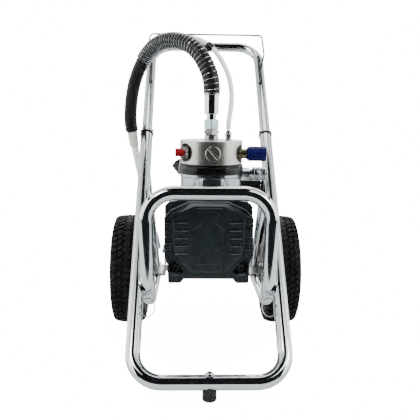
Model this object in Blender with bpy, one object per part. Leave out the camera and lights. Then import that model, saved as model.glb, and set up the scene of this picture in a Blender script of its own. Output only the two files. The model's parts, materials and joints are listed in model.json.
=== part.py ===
"""Airless diaphragm paint sprayer on a two-wheel tube cart.

Metres, +Z up. The front faces -Y, and +X is on the right as seen from the front.
The origin is on the floor, at the middle of the cart's width and length.
"""
from math import cos, pi, radians, sin, tan

import bmesh
import bpy
from mathutils import Matrix, Vector

GAP = 0.0003                    # between touching pieces

# Cart: the U of the main tube, from the bar at the floor to the handle
DEPTH = 0.6707                  # front bar to handle bar, outside
TUBE_R, TUBE_BORE = 0.014, 0.0125
HANDLE_R = 0.012
SLOPE = radians(45)
MAIN_X = 0.1395                 # centrelines of the two main tubes
BAR_Y = -DEPTH / 2 + TUBE_R
BAR_Z = 0.0335
BEND_R = 0.055
COLLAR_AT = 0.592               # along the slope from the front bar
HANDLE_BAR_AT = (DEPTH - TUBE_R - HANDLE_R) / cos(SLOPE)
HANDLE_FOOT_AT = 0.300
HANDLE_BEND_R = 0.058
PIN_AT, PIN_R = 0.6065, 0.0030
RACK_AT, WIRE_R = 0.762, 0.0022
RACK_X, RACK_KINK_Z, RACK_TOP_Z = 0.1365, 0.650, 0.696

# Guard loop, lower rails and rear struts
GUARD_Y = -0.1906
GUARD_TOP_X, GUARD_TOP_Z = 0.1235, 0.355
RAIL_X, RAIL_Z = 0.117, 0.137
RAIL_BACK, RAIL_BACK_Z = 0.122, 0.130
GUARD_CORNER_R, RAIL_BEND_R = 0.056, 0.045
STRUT_R, STRUT_TOP_AT, STRUT_FOOT_Y = 0.011, 0.502, 0.078

# Wheels
WHEEL_R, WHEEL_W = 0.130, 0.077
WHEEL_X, WHEEL_Y = 0.179, 0.1044
RIM_R, AXLE_R, HUB_R = 0.084, 0.008, 0.019

# Motor, its axis along Y
MOTOR_X, MOTOR_Z = 0.001, 0.2465
MOTOR_R, MOTOR_WALL = 0.080, 0.006
COWL_FRONT, COWL_BACK = -0.156, -0.118
HOUSING_BACK = 0.068
SHAFT_R = 0.008
BEARING_R, ROTOR_R = 0.019, 0.0405
CRANK_Y, CRANK_R, CRANK_THROW = -0.0756, 0.017, 0.0015
PISTON_STROKE = 2 * CRANK_THROW
BOX_BASE = 0.3225
ROCKER_AT = (0.094, 0.033, 0.3558)

# Pump, stacked upwards on a vertical axis
PUMP_X, PUMP_Y = 0.006, -0.0756
PUMP_BASE, RING_BASE, HEAD_BASE, HEAD_TOP = 0.3380, 0.3823, 0.4024, 0.4510
HEAD_R, RING_R, BODY_R, PLUG_R = 0.0645, 0.0670, 0.0630, 0.0150
PISTON_R, INLET_R, PORT_R = 0.0080, 0.0075, 0.0060
BUTTON_STEM_R, RELIEF_STEM_R, RETURN_STEM_R = 0.0045, 0.0050, 0.0040
SLOT_TURN = radians(-48)
PLATE_R = 0.0475                # support plate and diaphragm, inside the clamp ring
PLUG_X, PLUG_Z = 0.0075, 0.4265
OUTLET_X, OUTLET_Z = 0.0690, 0.3815
NUT_LOW, NUT_HIGH, FERRULE_LOW, HOSE_START = 0.4728, 0.4928, 0.5035, 0.5450
BUTTON_SEAT = (-0.0400, -0.1106, 0.4268)    # floors of the head's two round side pockets
RELIEF_SEAT = (0.0550, -0.0981, 0.4246)
POCKET_R = 0.0188
VALVE_Z, VALVE_TURN, VALVE_TILT = 0.370, radians(138.5), radians(40)

# Routes of the two free lines, from the pump to the suction tube
HOSE_R, RETURN_R, FERRULE_R = 0.0145, 0.0052, 0.0145
HOSE_ROUTE = [
    (0.0060, -0.0756, 0.5455), (0.0057, -0.0756, 0.5600), (0.0020, -0.0735, 0.5815),
    (-0.0075, -0.0665, 0.6045), (-0.0215, -0.0560, 0.6275), (-0.0420, -0.0390, 0.6460),
    (-0.0690, -0.0145, 0.6560), (-0.0960, 0.0110, 0.6560), (-0.1190, 0.0320, 0.6455),
    (-0.1385, 0.0490, 0.6250), (-0.1530, 0.0625, 0.6010), (-0.1640, 0.0740, 0.5740),
    (-0.1715, 0.0845, 0.5450), (-0.1758, 0.0940, 0.5150), (-0.1775, 0.1010, 0.4870),
    (-0.1745, 0.1044, 0.4610),
]
RETURN_ROUTE = [
    (0.0420, -0.0640, 0.4722), (0.0424, -0.0640, 0.4880), (0.0465, -0.0620, 0.5180),
    (0.0475, -0.0595, 0.5480), (0.0420, -0.0555, 0.5780), (0.0320, -0.0500, 0.6030),
    (0.0190, -0.0410, 0.6250), (0.0040, -0.0290, 0.6430), (-0.0160, -0.0120, 0.6570),
    (-0.0400, 0.0080, 0.6650), (-0.0660, 0.0290, 0.6680), (-0.0920, 0.0480, 0.6630),
    (-0.1170, 0.0660, 0.6490), (-0.1350, 0.0790, 0.6270), (-0.1490, 0.0900, 0.6000),
    (-0.1590, 0.0990, 0.5700), (-0.1670, 0.1085, 0.5400), (-0.1710, 0.1160, 0.5100),
    (-0.1720, 0.1220, 0.4780), (-0.1700, 0.1255, 0.4450), (-0.1650, 0.1265, 0.4100),
    (-0.1580, 0.1265, 0.3700), (-0.1500, 0.1265, 0.3300), (-0.1430, 0.1265, 0.2950),
    (-0.1370, 0.1265, 0.2650),
]
GUARD_SHARE = 0.62              # share of the suction hose inside the spring guard
SLEEVE_TOP, SLEEVE_END = (-0.1744, 0.1046, 0.4607), (-0.1695, 0.1064, 0.4260)
TUBE_END = (-0.1255, 0.1110, 0.2150)

FINISHES = {                    # colour, roughness, metallic
    "chrome": ((0.80, 0.81, 0.82), 0.10, 1.0),
    "steel": ((0.62, 0.62, 0.60), 0.32, 1.0),
    "zinc": ((0.66, 0.72, 0.74), 0.35, 1.0),
    "aluminium": ((0.55, 0.57, 0.58), 0.28, 1.0),
    "brass": ((0.42, 0.38, 0.25), 0.35, 1.0),
    "copper": ((0.60, 0.30, 0.16), 0.40, 1.0),
    "rubber": ((0.020, 0.020, 0.020), 0.75, 0.0),
    "tyre": ((0.022, 0.022, 0.021), 0.80, 0.0),
    "rim": ((0.30, 0.29, 0.27), 0.45, 0.0),
    "cowl": ((0.045, 0.060, 0.068), 0.38, 0.0),
    "black": ((0.015, 0.015, 0.016), 0.35, 0.0),
    "red": ((0.60, 0.015, 0.020), 0.35, 0.0),
    "blue": ((0.010, 0.010, 0.200), 0.35, 0.0),
    "sleeve": ((0.55, 0.54, 0.50), 0.50, 0.0),
    "clear": ((0.80, 0.80, 0.78), 0.25, 0.0),
}

X, Y, Z = Vector((1, 0, 0)), Vector((0, 1, 0)), Vector((0, 0, 1))
HANDS = ((-1, "left"), (1, "right"))


def finish_material(finish):
    """The Principled material of a finish, made once."""
    found = bpy.data.materials.get(finish)
    if found:
        return found
    color, roughness, metallic = FINISHES[finish]
    made = bpy.data.materials.new(finish)
    made.use_nodes = True
    shader = made.node_tree.nodes["Principled BSDF"]
    shader.inputs["Base Color"].default_value = (*color, 1.0)
    shader.inputs["Roughness"].default_value = roughness
    shader.inputs["Metallic"].default_value = metallic
    return made


def add_part(name, bm, finish, center=(0, 0, 0), axis=Z):
    """Object from a bmesh, its origin at center and its local +Z along axis."""
    bmesh.ops.recalc_face_normals(bm, faces=bm.faces)
    mesh = bpy.data.meshes.new(name)
    bm.to_mesh(mesh)
    bm.free()
    mesh.materials.append(finish_material(finish))
    mesh.shade_smooth()
    mesh.set_sharp_from_angle(angle=radians(35))
    part = bpy.data.objects.new(name, mesh)
    bpy.context.collection.objects.link(part)
    part.matrix_world = Matrix.Translation(center) @ Z.rotation_difference(axis).to_matrix().to_4x4()
    return part


def turned(name, profile, finish, center=(0, 0, 0), axis=Z, steps=28):
    """Solid of revolution. A profile of (radius, height) off the axis closes on itself as a ring."""
    bm = bmesh.new()
    points = [bm.verts.new((radius, 0, height)) for radius, height in profile]
    edges = [bm.edges.new(pair) for pair in zip(points, points[1:])]
    if profile[0][0] > 0:
        edges.append(bm.edges.new((points[-1], points[0])))
    bmesh.ops.spin(bm, geom=points + edges, cent=(0, 0, 0), axis=(0, 0, 1), dvec=(0, 0, 0),
                   angle=2 * pi, steps=steps, use_merge=True, use_duplicate=False)
    bmesh.ops.remove_doubles(bm, verts=bm.verts, dist=1e-6)
    return add_part(name, bm, finish, center, axis)


def disc(name, radius, low, high, finish, center=(0, 0, 0), axis=Z, steps=24):
    """Plain cylinder between two heights."""
    return turned(name, [(0, low), (radius, low), (radius, high), (0, high)], finish, center, axis, steps)


def ring(name, inner, outer, low, high, finish, center=(0, 0, 0), axis=Z, steps=28):
    """Plain ring between two heights."""
    profile = [(inner, low), (outer, low), (outer, high), (inner, high)]
    return turned(name, profile, finish, center, axis, steps)


def extruded(name, outline, low, high, finish, center=(0, 0, 0), axis=Z, bevel=0):
    """Flat outline pushed from low to high along the axis, its edges optionally bevelled."""
    bm = bmesh.new()
    base = bm.faces.new([bm.verts.new((a, b, low)) for a, b in outline])
    pushed = bmesh.ops.extrude_face_region(bm, geom=[base])["geom"]
    bmesh.ops.translate(bm, vec=(0, 0, high - low),
                        verts=[item for item in pushed if isinstance(item, bmesh.types.BMVert)])
    if bevel:
        bmesh.ops.recalc_face_normals(bm, faces=bm.faces)
        bmesh.ops.bevel(bm, geom=list(bm.edges), offset=bevel, segments=1, affect="EDGES")
    return add_part(name, bm, finish, center, axis)


def block(name, low, high, finish, bevel=0):
    """Box between two opposite corners, with its origin at its middle."""
    low, high = Vector(low), Vector(high)
    half = Vector([abs(size) / 2 for size in high - low])
    outline = [(-half.x, -half.y), (half.x, -half.y), (half.x, half.y), (-half.x, half.y)]
    return extruded(name, outline, -half.z, half.z, finish, (low + high) / 2, bevel=bevel)


def hexagon(across_flats):
    """Outline of a hexagon from its size across flats."""
    reach = across_flats / 2 / cos(pi / 6)
    return [(reach * cos(k * pi / 3), reach * sin(k * pi / 3)) for k in range(6)]


def rounded(corners, radii, steps=4):
    """Path through corners, with each inner corner replaced by an arc of its own radius."""
    path = [Vector(corners[0])]
    for before, corner, after, radius in zip(corners, corners[1:], corners[2:], radii):
        corner = Vector(corner)
        back = (Vector(before) - corner).normalized()
        ahead = (Vector(after) - corner).normalized()
        half = back.angle(ahead) / 2
        middle = corner + (back + ahead).normalized() * radius / sin(half)
        start = corner + back * radius / tan(half) - middle
        end = corner + ahead * radius / tan(half) - middle
        turn = start.angle(end) / steps
        path += [middle + Matrix.Rotation(k * turn, 3, start.cross(end)) @ start for k in range(steps + 1)]
    path.append(Vector(corners[-1]))
    return path


def smooth_route(points, spacing):
    """Points about spacing apart on the Catmull-Rom curve through a route's points."""
    points = [Vector(point) for point in points]
    points = [2 * points[0] - points[1], *points, 2 * points[-1] - points[-2]]
    route = []
    for p0, p1, p2, p3 in zip(points, points[1:], points[2:], points[3:]):
        count = max(1, round((p2 - p1).length / spacing))
        for k in range(count):
            t = k / count
            route.append(0.5 * (2 * p1 + (p2 - p0) * t + (2 * p0 - 5 * p1 + 4 * p2 - p3) * t * t
                                + (3 * p1 - p0 - 3 * p2 + p3) * t ** 3))
    return route + [points[-2]]


def swept(name, path, radius, finish, bore=0, sides=12):
    """Tube or rod along a path, on a cross-section that doesn't twist."""
    path = [Vector(point) for point in path]
    steps = [(b - a).normalized() for a, b in zip(path, path[1:])]
    headings = [steps[0]] + [(a + b).normalized() for a, b in zip(steps, steps[1:])] + [steps[-1]]
    side = headings[0].orthogonal().normalized()
    frames = []
    for point, heading in zip(path, headings):
        side = (side - heading * side.dot(heading)).normalized()
        frames.append((point, side, heading.cross(side)))
    bm = bmesh.new()

    def skin(reach):
        angles = [2 * pi * k / sides for k in range(sides)]
        loops = [[bm.verts.new(point + reach * (side * cos(angle) + up * sin(angle))) for angle in angles]
                 for point, side, up in frames]
        for near, far in zip(loops, loops[1:]):
            for k in range(sides):
                bm.faces.new((near[k - 1], near[k], far[k], far[k - 1]))
        return loops[0], loops[-1]

    ends = skin(radius)
    if bore:
        for outer, inner in zip(ends, skin(bore)):
            for k in range(sides):
                bm.faces.new((outer[k - 1], outer[k], inner[k], inner[k - 1]))
    else:
        for end in ends:
            bm.faces.new(end)
    return add_part(name, bm, finish)


def cord(name, route, radius, finish):
    """Free hose or tube as a round curve through a route, a point every two diameters or so."""
    curve = bpy.data.curves.new(name, "CURVE")
    curve.dimensions = "3D"
    curve.bevel_depth = radius
    curve.bevel_resolution = 2
    curve.use_fill_caps = True
    points = smooth_route(route, 4 * radius)
    spline = curve.splines.new("POLY")
    spline.points.add(len(points) - 1)
    for target, point in zip(spline.points, points):
        target.co = (*point, 1.0)
    curve.materials.append(finish_material(finish))
    bpy.context.collection.objects.link(bpy.data.objects.new(name, curve))


def apply_boolean(part, other, operation):
    """Boolean of two objects; the second one stays as a hidden wire guide."""
    modifier = part.modifiers.new(other.name, "BOOLEAN")
    modifier.operation = operation
    modifier.solver = "EXACT"
    modifier.object = other
    other.hide_render = True
    other.display_type = "WIRE"


def cut(part, *cutters):
    """Removes each cutter's solid from the part."""
    for cutter in cutters:
        apply_boolean(part, cutter, "DIFFERENCE")


def join(part, *pieces):
    """Adds each piece's solid to the part."""
    for piece in pieces:
        apply_boolean(part, piece, "UNION")


def on_slope(x, along, lift=0.0):
    """Point of the main tubes' plane: distance up the slope from the front bar, and height off it."""
    return Vector((x, BAR_Y + along * cos(SLOPE) - lift * sin(SLOPE),
                   BAR_Z + along * sin(SLOPE) + lift * cos(SLOPE)))


def build_cart():
    """Main U tube, guard loop with the lower rails, struts, axle, front foot."""
    main_corners = [on_slope(-MAIN_X, COLLAR_AT), on_slope(-MAIN_X, 0),
                    on_slope(MAIN_X, 0), on_slope(MAIN_X, COLLAR_AT)]
    main_path = rounded(main_corners, [BEND_R] * 2)
    main_frame = swept("main_frame", main_path, TUBE_R, "chrome", bore=TUBE_BORE)
    main_room = swept("main_room", main_path, TUBE_R + GAP, "chrome")

    right_half = [(RAIL_X, RAIL_BACK, RAIL_BACK_Z), (RAIL_X, GUARD_Y, RAIL_Z),
                  (GUARD_TOP_X, GUARD_Y, GUARD_TOP_Z)]
    left_half = [(-x, y, z) for x, y, z in reversed(right_half)]
    guard_path = rounded(right_half + left_half,
                         [RAIL_BEND_R, GUARD_CORNER_R, GUARD_CORNER_R, RAIL_BEND_R])
    guard_frame = swept("guard_frame", guard_path, TUBE_R, "chrome", bore=TUBE_BORE)
    guard_room = swept("guard_room", guard_path, TUBE_R + GAP, "chrome")

    axle_half = WHEEL_X + WHEEL_W / 2 + 0.006
    disc("axle", AXLE_R, -axle_half, axle_half, "steel", (0, WHEEL_Y, WHEEL_R), X)
    axle_room = disc("axle_room", AXLE_R + GAP, -axle_half, axle_half, "steel", (0, WHEEL_Y, WHEEL_R), X)
    cut(guard_frame, main_room, axle_room)

    for side, hand in HANDS:
        foot = Vector((side * RAIL_X, STRUT_FOOT_Y, RAIL_BACK_Z))
        strut = swept(f"strut_{hand}", [on_slope(side * MAIN_X, STRUT_TOP_AT), foot], STRUT_R, "chrome")
        cut(strut, main_room, guard_room)

    foot_height = BAR_Z - 0.006
    front_foot = turned("front_foot", [(0, 0), (0.0115, 0), (0.0132, 0.004), (0.0128, foot_height),
                                       (0, foot_height)], "rubber", (0, BAR_Y, 0), steps=20)
    bolt_base, bolt_seat = 0.008, BAR_Z + TUBE_R + GAP
    turned("foot_bolt", [(0, bolt_base), (0.003, bolt_base), (0.003, bolt_seat), (0.0076, bolt_seat),
                         (0.0072, bolt_seat + 0.003), (0.004, bolt_seat + 0.0050),
                         (0, bolt_seat + 0.0055)], "chrome", (0, BAR_Y, 0), steps=16)
    bolt_room = disc("foot_bolt_room", 0.003 + GAP, bolt_base - GAP, bolt_seat + 0.01, "steel",
                     (0, BAR_Y, 0), steps=16)
    cut(front_foot, main_room, bolt_room)
    cut(main_frame, bolt_room)
    return guard_room


def build_wheels():
    """Block-tread tyres on dished rims, held on the axle by domed caps."""
    half = WHEEL_W / 2
    bead = 0.030
    tyre_profile = [(RIM_R - 0.002 + GAP, -bead), (RIM_R + 0.012, -half + 0.001), (0.112, -half),
                    (WHEEL_R - 0.005, -0.031), (WHEEL_R, -0.014), (WHEEL_R, 0.014),
                    (WHEEL_R - 0.005, 0.031),
                    (0.112, half), (RIM_R + 0.012, half - 0.001), (RIM_R - 0.002 + GAP, bead)]
    rim_profile = [(AXLE_R + GAP, -half + 0.001), (HUB_R, -half + 0.001), (HUB_R, -0.010), (0.040, -0.006),
                   (0.070, -0.014), (0.074, -bead), (RIM_R - 0.002, -bead), (RIM_R - 0.002, bead),
                   (0.074, bead), (0.070, -0.006), (0.040, 0.004), (HUB_R, 0.010), (HUB_R, half - 0.001),
                   (AXLE_R + GAP, half - 0.001)]
    cap_base = WHEEL_X + half
    cap_profile = [(0, 0.012), (0.009, 0.0105), (0.0135, 0.007), (0.0135, GAP), (AXLE_R + GAP, GAP),
                   (AXLE_R + GAP, 0.0075), (0, 0.0075)]
    for side, hand in HANDS:
        place = (side * WHEEL_X, WHEEL_Y, WHEEL_R)
        turned(f"tyre_{hand}", tyre_profile, "tyre", place, side * X)
        turned(f"rim_{hand}", rim_profile, "rim", place, side * X)
        turned(f"axle_cap_{hand}", cap_profile, "steel", (side * cap_base, WHEEL_Y, WHEEL_R), side * X)


def build_handle():
    """Thin U tube that telescopes into the main tubes, its stop pins, collars and wire rack."""
    corners = [on_slope(-MAIN_X, HANDLE_FOOT_AT), on_slope(-MAIN_X, HANDLE_BAR_AT),
               on_slope(MAIN_X, HANDLE_BAR_AT), on_slope(MAIN_X, HANDLE_FOOT_AT)]
    handle_path = rounded(corners, [HANDLE_BEND_R] * 2)
    handle = swept("handle", handle_path, HANDLE_R, "chrome", bore=HANDLE_R - 0.0015)
    slope_axis = on_slope(0, 1) - on_slope(0, 0)
    pin_half = HANDLE_R + 0.0035
    for side, hand in HANDS:
        turned(f"collar_{hand}", [(HANDLE_R + GAP, GAP), (0.0158, GAP), (0.0158, 0.0045), (0.0135, 0.0065),
                                  (HANDLE_R + GAP, 0.0065)], "black",
               on_slope(side * MAIN_X, COLLAR_AT), slope_axis, steps=20)
        pin_middle = on_slope(side * MAIN_X, PIN_AT)
        disc(f"stop_pin_{hand}", PIN_R, -pin_half, pin_half, "chrome", pin_middle, X, 12)
        pin_room = disc(f"pin_room_{hand}", PIN_R + GAP, -pin_half, pin_half, "chrome", pin_middle, X, 12)
        wire_foot = on_slope(side * RACK_X, RACK_AT, HANDLE_R - 0.0012)
        wire_room = disc(f"wire_room_{hand}", WIRE_R + GAP, -0.002, 0.02, "chrome", wire_foot, Z, 12)
        cut(handle, pin_room, wire_room)

    right = [wire_foot, (RACK_X, wire_foot.y, wire_foot.z + 0.030),
             (RACK_X + 0.008, wire_foot.y, RACK_KINK_Z), (RACK_X + 0.001, wire_foot.y, RACK_TOP_Z)]
    left = [(-x, y, z) for x, y, z in reversed(right)]
    swept("hose_rack", rounded(right + left, [0.03, 0.012, 0.011, 0.011, 0.012, 0.03], 3), WIRE_R, "steel",
          sides=6)


def build_motor(guard_room):
    """Motor casting with its cover, rotor group, bearings, side mounts and switch box."""
    center = (MOTOR_X, 0, MOTOR_Z)
    inner = MOTOR_R - MOTOR_WALL
    front, back = COWL_BACK + GAP, HOUSING_BACK - GAP
    seat = BEARING_R + GAP
    housing = turned("motor_housing", [(seat, front), (MOTOR_R, front), (MOTOR_R, back), (inner, back),
                                       (inner, front + 0.008), (0.030, front + 0.008),
                                       (0.030, front + 0.012), (seat, front + 0.012)],
                     "aluminium", center, Y, steps=32)
    pad_face = 0.0905
    pads = [block(f"side_pad_{hand}", (side * 0.066, -0.025, 0.187), (side * pad_face, 0.045, 0.213),
                  "aluminium") for side, hand in HANDS]
    box_pad = block("box_pad", (0.030, 0.010, 0.290), (0.078, 0.055, BOX_BASE - GAP), "aluminium")
    pump_boss = disc("pump_boss", 0.040, MOTOR_Z + 0.05, PUMP_BASE - GAP, "aluminium", (PUMP_X, PUMP_Y, 0))
    core = disc("motor_core", inner, front + 0.008, back + 0.01, "aluminium", center, Y, 32)
    piston_bore = disc("piston_bore", PISTON_R + GAP, MOTOR_Z + 0.06, PUMP_BASE + 0.01, "steel",
                       (PUMP_X, PUMP_Y, 0), steps=16)
    join(housing, *pads, box_pad, pump_boss)
    cut(housing, core, piston_bore)

    for side, hand in HANDS:
        plate = side * (pad_face + GAP)
        outer = plate + side * 0.003
        mount = block(f"motor_mount_{hand}", (plate, -0.020, 0.1440), (outer, 0.040, 0.222), "steel")
        flange = block(f"mount_flange_{hand}", (plate, -0.020, 0.1440), (side * 0.128, 0.040, 0.1505),
                       "steel")
        join(mount, flange)
        cut(mount, guard_room)

    turned("rear_end_bell", [(0, back + 0.0200), (0.060, back + 0.0185), (0.074, back + 0.014),
                             (MOTOR_R, back + 0.008), (MOTOR_R, back + GAP), (seat, back + GAP),
                             (seat, back + 0.0125), (0, back + 0.0125)], "aluminium", center, Y, steps=32)
    ring("stator", ROTOR_R + 0.001, inner - GAP - 0.0002, -0.032, 0.042, "copper", center, Y, 28)
    stack = (-0.030, 0.040)
    nose = COWL_BACK - 0.027
    turned("rotor", [(0, nose), (SHAFT_R, nose), (SHAFT_R, stack[0]),
                     (ROTOR_R, stack[0]), (ROTOR_R, stack[1]), (SHAFT_R, stack[1]), (SHAFT_R, back + 0.011),
                     (0, back + 0.011)], "steel", center, Y)
    for name, start in (("front_bearing", front + 0.001), ("rear_bearing", back + 0.001)):
        ring(name, SHAFT_R + GAP, BEARING_R, start, start + 0.0100, "steel", center, Y, 24)

    crank_at, crank_half = (MOTOR_X, CRANK_Y, MOTOR_Z - CRANK_THROW), 0.012
    crank = disc("eccentric", CRANK_R, -crank_half, crank_half, "steel", crank_at, Y)
    cut(crank, disc("shaft_room", SHAFT_R + GAP, -0.10, 0.10, "steel",
                    (MOTOR_X, CRANK_Y, MOTOR_Z), Y, 28))

    blades, hub, tip, half = 7, 0.020, 0.060, 0.0025
    outline = []
    for k in range(blades):
        along = Vector((cos(2 * pi * k / blades), sin(2 * pi * k / blades)))
        across = Vector((-along.y, along.x)) * half
        outline += [tuple(along * hub - across), tuple(along * tip - across),
                    tuple(along * tip + across), tuple(along * hub + across)]
    fan = extruded("cooling_fan", outline, -0.145, -0.127, "black", center, Y)
    cut(fan, disc("fan_bore", SHAFT_R + GAP, -0.16, COWL_BACK, "steel", center, Y, 28))


def build_cowl():
    """Front cover: body with feet, raised octagon on the face, vent slots, hollow behind."""
    half_outline = [(0.0400, 0.3310), (0.0740, 0.3150), (0.0890, 0.3000), (0.0890, 0.2230),
                    (0.0830, 0.2050), (0.0815, 0.1660), (0.0540, 0.1660), (0.0500, 0.1745)]
    octagon = [(0.0365, 0.3290), (0.0740, 0.3040), (0.0740, 0.2310), (0.0355, 0.1870)]
    step = 0.006

    def front_outline(half):
        """Mirrored outline about the motor's axis, as (x, -z) for a push along +Y."""
        return [(x, MOTOR_Z - z) for x, z in half] + [(-x, MOTOR_Z - z) for x, z in reversed(half)]

    center = (MOTOR_X, 0, MOTOR_Z)
    cowl = extruded("motor_cowl", front_outline(half_outline), COWL_FRONT + step, COWL_BACK, "cowl",
                    center, Y, bevel=0.003)
    face = extruded("cowl_face", front_outline(octagon), COWL_FRONT, COWL_FRONT + step + 0.004, "cowl",
                    center, Y, bevel=0.002)
    cavity = disc("cowl_cavity", 0.068, COWL_FRONT + step + 0.004, COWL_BACK + 0.01, "cowl", center, Y, 28)
    join(cowl, face)
    cut(cowl, cavity)
    slots, pitch, slot_h, slot_in, slot_out = 5, 0.0155, 0.0042, 0.044, 0.062
    for side, hand in HANDS:
        for k in range(slots):
            z = MOTOR_Z + 0.012 + (k - 2) * pitch
            low = (MOTOR_X + side * slot_in, COWL_FRONT - 0.01, z - slot_h / 2)
            high = (MOTOR_X + side * slot_out, COWL_FRONT + 0.02, z + slot_h / 2)
            cut(cowl, block(f"vent_{hand}_{k}", low, high, "cowl"))


def build_switch_box():
    """Electrical box on the motor's right shoulder, with its rocker switch and cable gland."""
    low, high = (0.048, 0.004, BOX_BASE), (0.121, 0.060, 0.3580)
    box = block("switch_box", low, high, "black", bevel=0.004)
    pocket = block("switch_pocket", (0.082, 0.020, 0.3520), (0.106, 0.046, 0.3700), "black")
    cut(box, pocket)
    rocker_top = [(-0.0115, 0.0045), (-0.0060, 0.0010), (0, 0), (0.0060, 0.0010), (0.0115, 0.0045)]
    rocker_base = [(0.0085, -0.0020), (0, -0.0028), (-0.0085, -0.0020)]
    outline = [(-height, along) for along, height in rocker_top + rocker_base]
    extruded("rocker_switch", outline, -0.0105, 0.0105, "black", ROCKER_AT, X)
    turned("cable_gland", [(0, 0), (0.0095, 0), (0.0095, 0.007), (0.0075, 0.009), (0.0060, 0.020),
                           (0.0042, 0.020), (0.0042, 0.006), (0, 0.006)],
           "black", (0.085, high[1] + GAP, 0.340), Y, steps=20)


def build_hydraulics():
    """Housing, support plate, diaphragm, clamp ring, piston with its spring, pressure valve."""
    center, outlet_at = (PUMP_X, PUMP_Y, 0), (PUMP_X, PUMP_Y, OUTLET_Z)
    well_r, well_z, boss_r = 0.0125, RING_BASE - 0.012, 0.0125
    housing = turned("hydraulic_housing", [(PISTON_R + GAP, PUMP_BASE), (BODY_R - 0.002, PUMP_BASE),
                                           (BODY_R, PUMP_BASE + 0.002), (BODY_R, RING_BASE),
                                           (well_r, RING_BASE), (well_r, well_z),
                                           (PISTON_R + GAP, well_z)], "aluminium", center, steps=32)
    join(housing, disc("outlet_boss", boss_r, 0.0485, BODY_R, "aluminium", outlet_at, X))
    valve_axis = Vector((cos(VALVE_TURN) * cos(VALVE_TILT), sin(VALVE_TURN) * cos(VALVE_TILT),
                         sin(VALVE_TILT)))
    valve_root = Vector((PUMP_X + BODY_R * cos(VALVE_TURN), PUMP_Y + BODY_R * sin(VALVE_TURN), VALVE_Z))
    cut(housing, disc("outlet_port", PORT_R + GAP, 0.0500, 0.0800, "aluminium", outlet_at, X, 16),
        disc("valve_room", 0.0070 + GAP, -0.012, 0.02, "steel", valve_root, valve_axis, 16))
    turned("pressure_valve_stem", [(0, -0.0115), (0.0070, -0.0115), (0.0070, 0.0130), (0.0045, 0.0130),
                                   (0.0045, 0.0300), (0, 0.0300)], "brass", valve_root, valve_axis, 16)
    turned("pressure_knob", [(0, 0.0420), (0.0105, 0.0420), (0.0135, 0.0390), (0.0135, 0.0185),
                             (0.0120, 0.0170), (0.0050, 0.0170), (0.0050, 0.0310), (0, 0.0310)],
           "black", valve_root, valve_axis, 20)

    plate_low, plate_high, ring_high = RING_BASE + GAP, HEAD_BASE - 0.0040, HEAD_BASE - GAP
    ring("diaphragm_support", 0.0100, PLATE_R, plate_low, plate_high, "steel", center)
    disc("diaphragm", PLATE_R, plate_high + GAP, ring_high, "rubber", center, steps=28)
    clamp = ring("clamp_ring", PLATE_R + 0.0005, RING_R, plate_low, ring_high, "black", center, steps=32)
    cut(clamp, disc("boss_room", boss_r + GAP, 0.0400, 0.0700, "aluminium", outlet_at, X))

    foot_z = MOTOR_Z + CRANK_R + CRANK_THROW + PISTON_STROKE + GAP
    shoulder_z, piston_top = foot_z + 0.0062, RING_BASE - 0.004
    turned("piston", [(0, foot_z), (0.0115, foot_z), (0.0115, shoulder_z), (PISTON_R, shoulder_z),
                      (PISTON_R, piston_top), (0, piston_top)], "steel", center, steps=20)
    coil_r, wire_r, turns, per_turn = 0.0108, 0.0011, 5, 9
    low, high = shoulder_z + wire_r + GAP, MOTOR_Z + MOTOR_R - MOTOR_WALL - wire_r - 0.0030
    coil = []
    for k in range(turns * per_turn + 1):
        angle = 2 * pi * k / per_turn
        coil.append((PUMP_X + coil_r * cos(angle), PUMP_Y + coil_r * sin(angle),
                     low + (high - low) * k / (turns * per_turn)))
    swept("piston_spring", coil, wire_r, "steel", sides=5)


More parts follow.
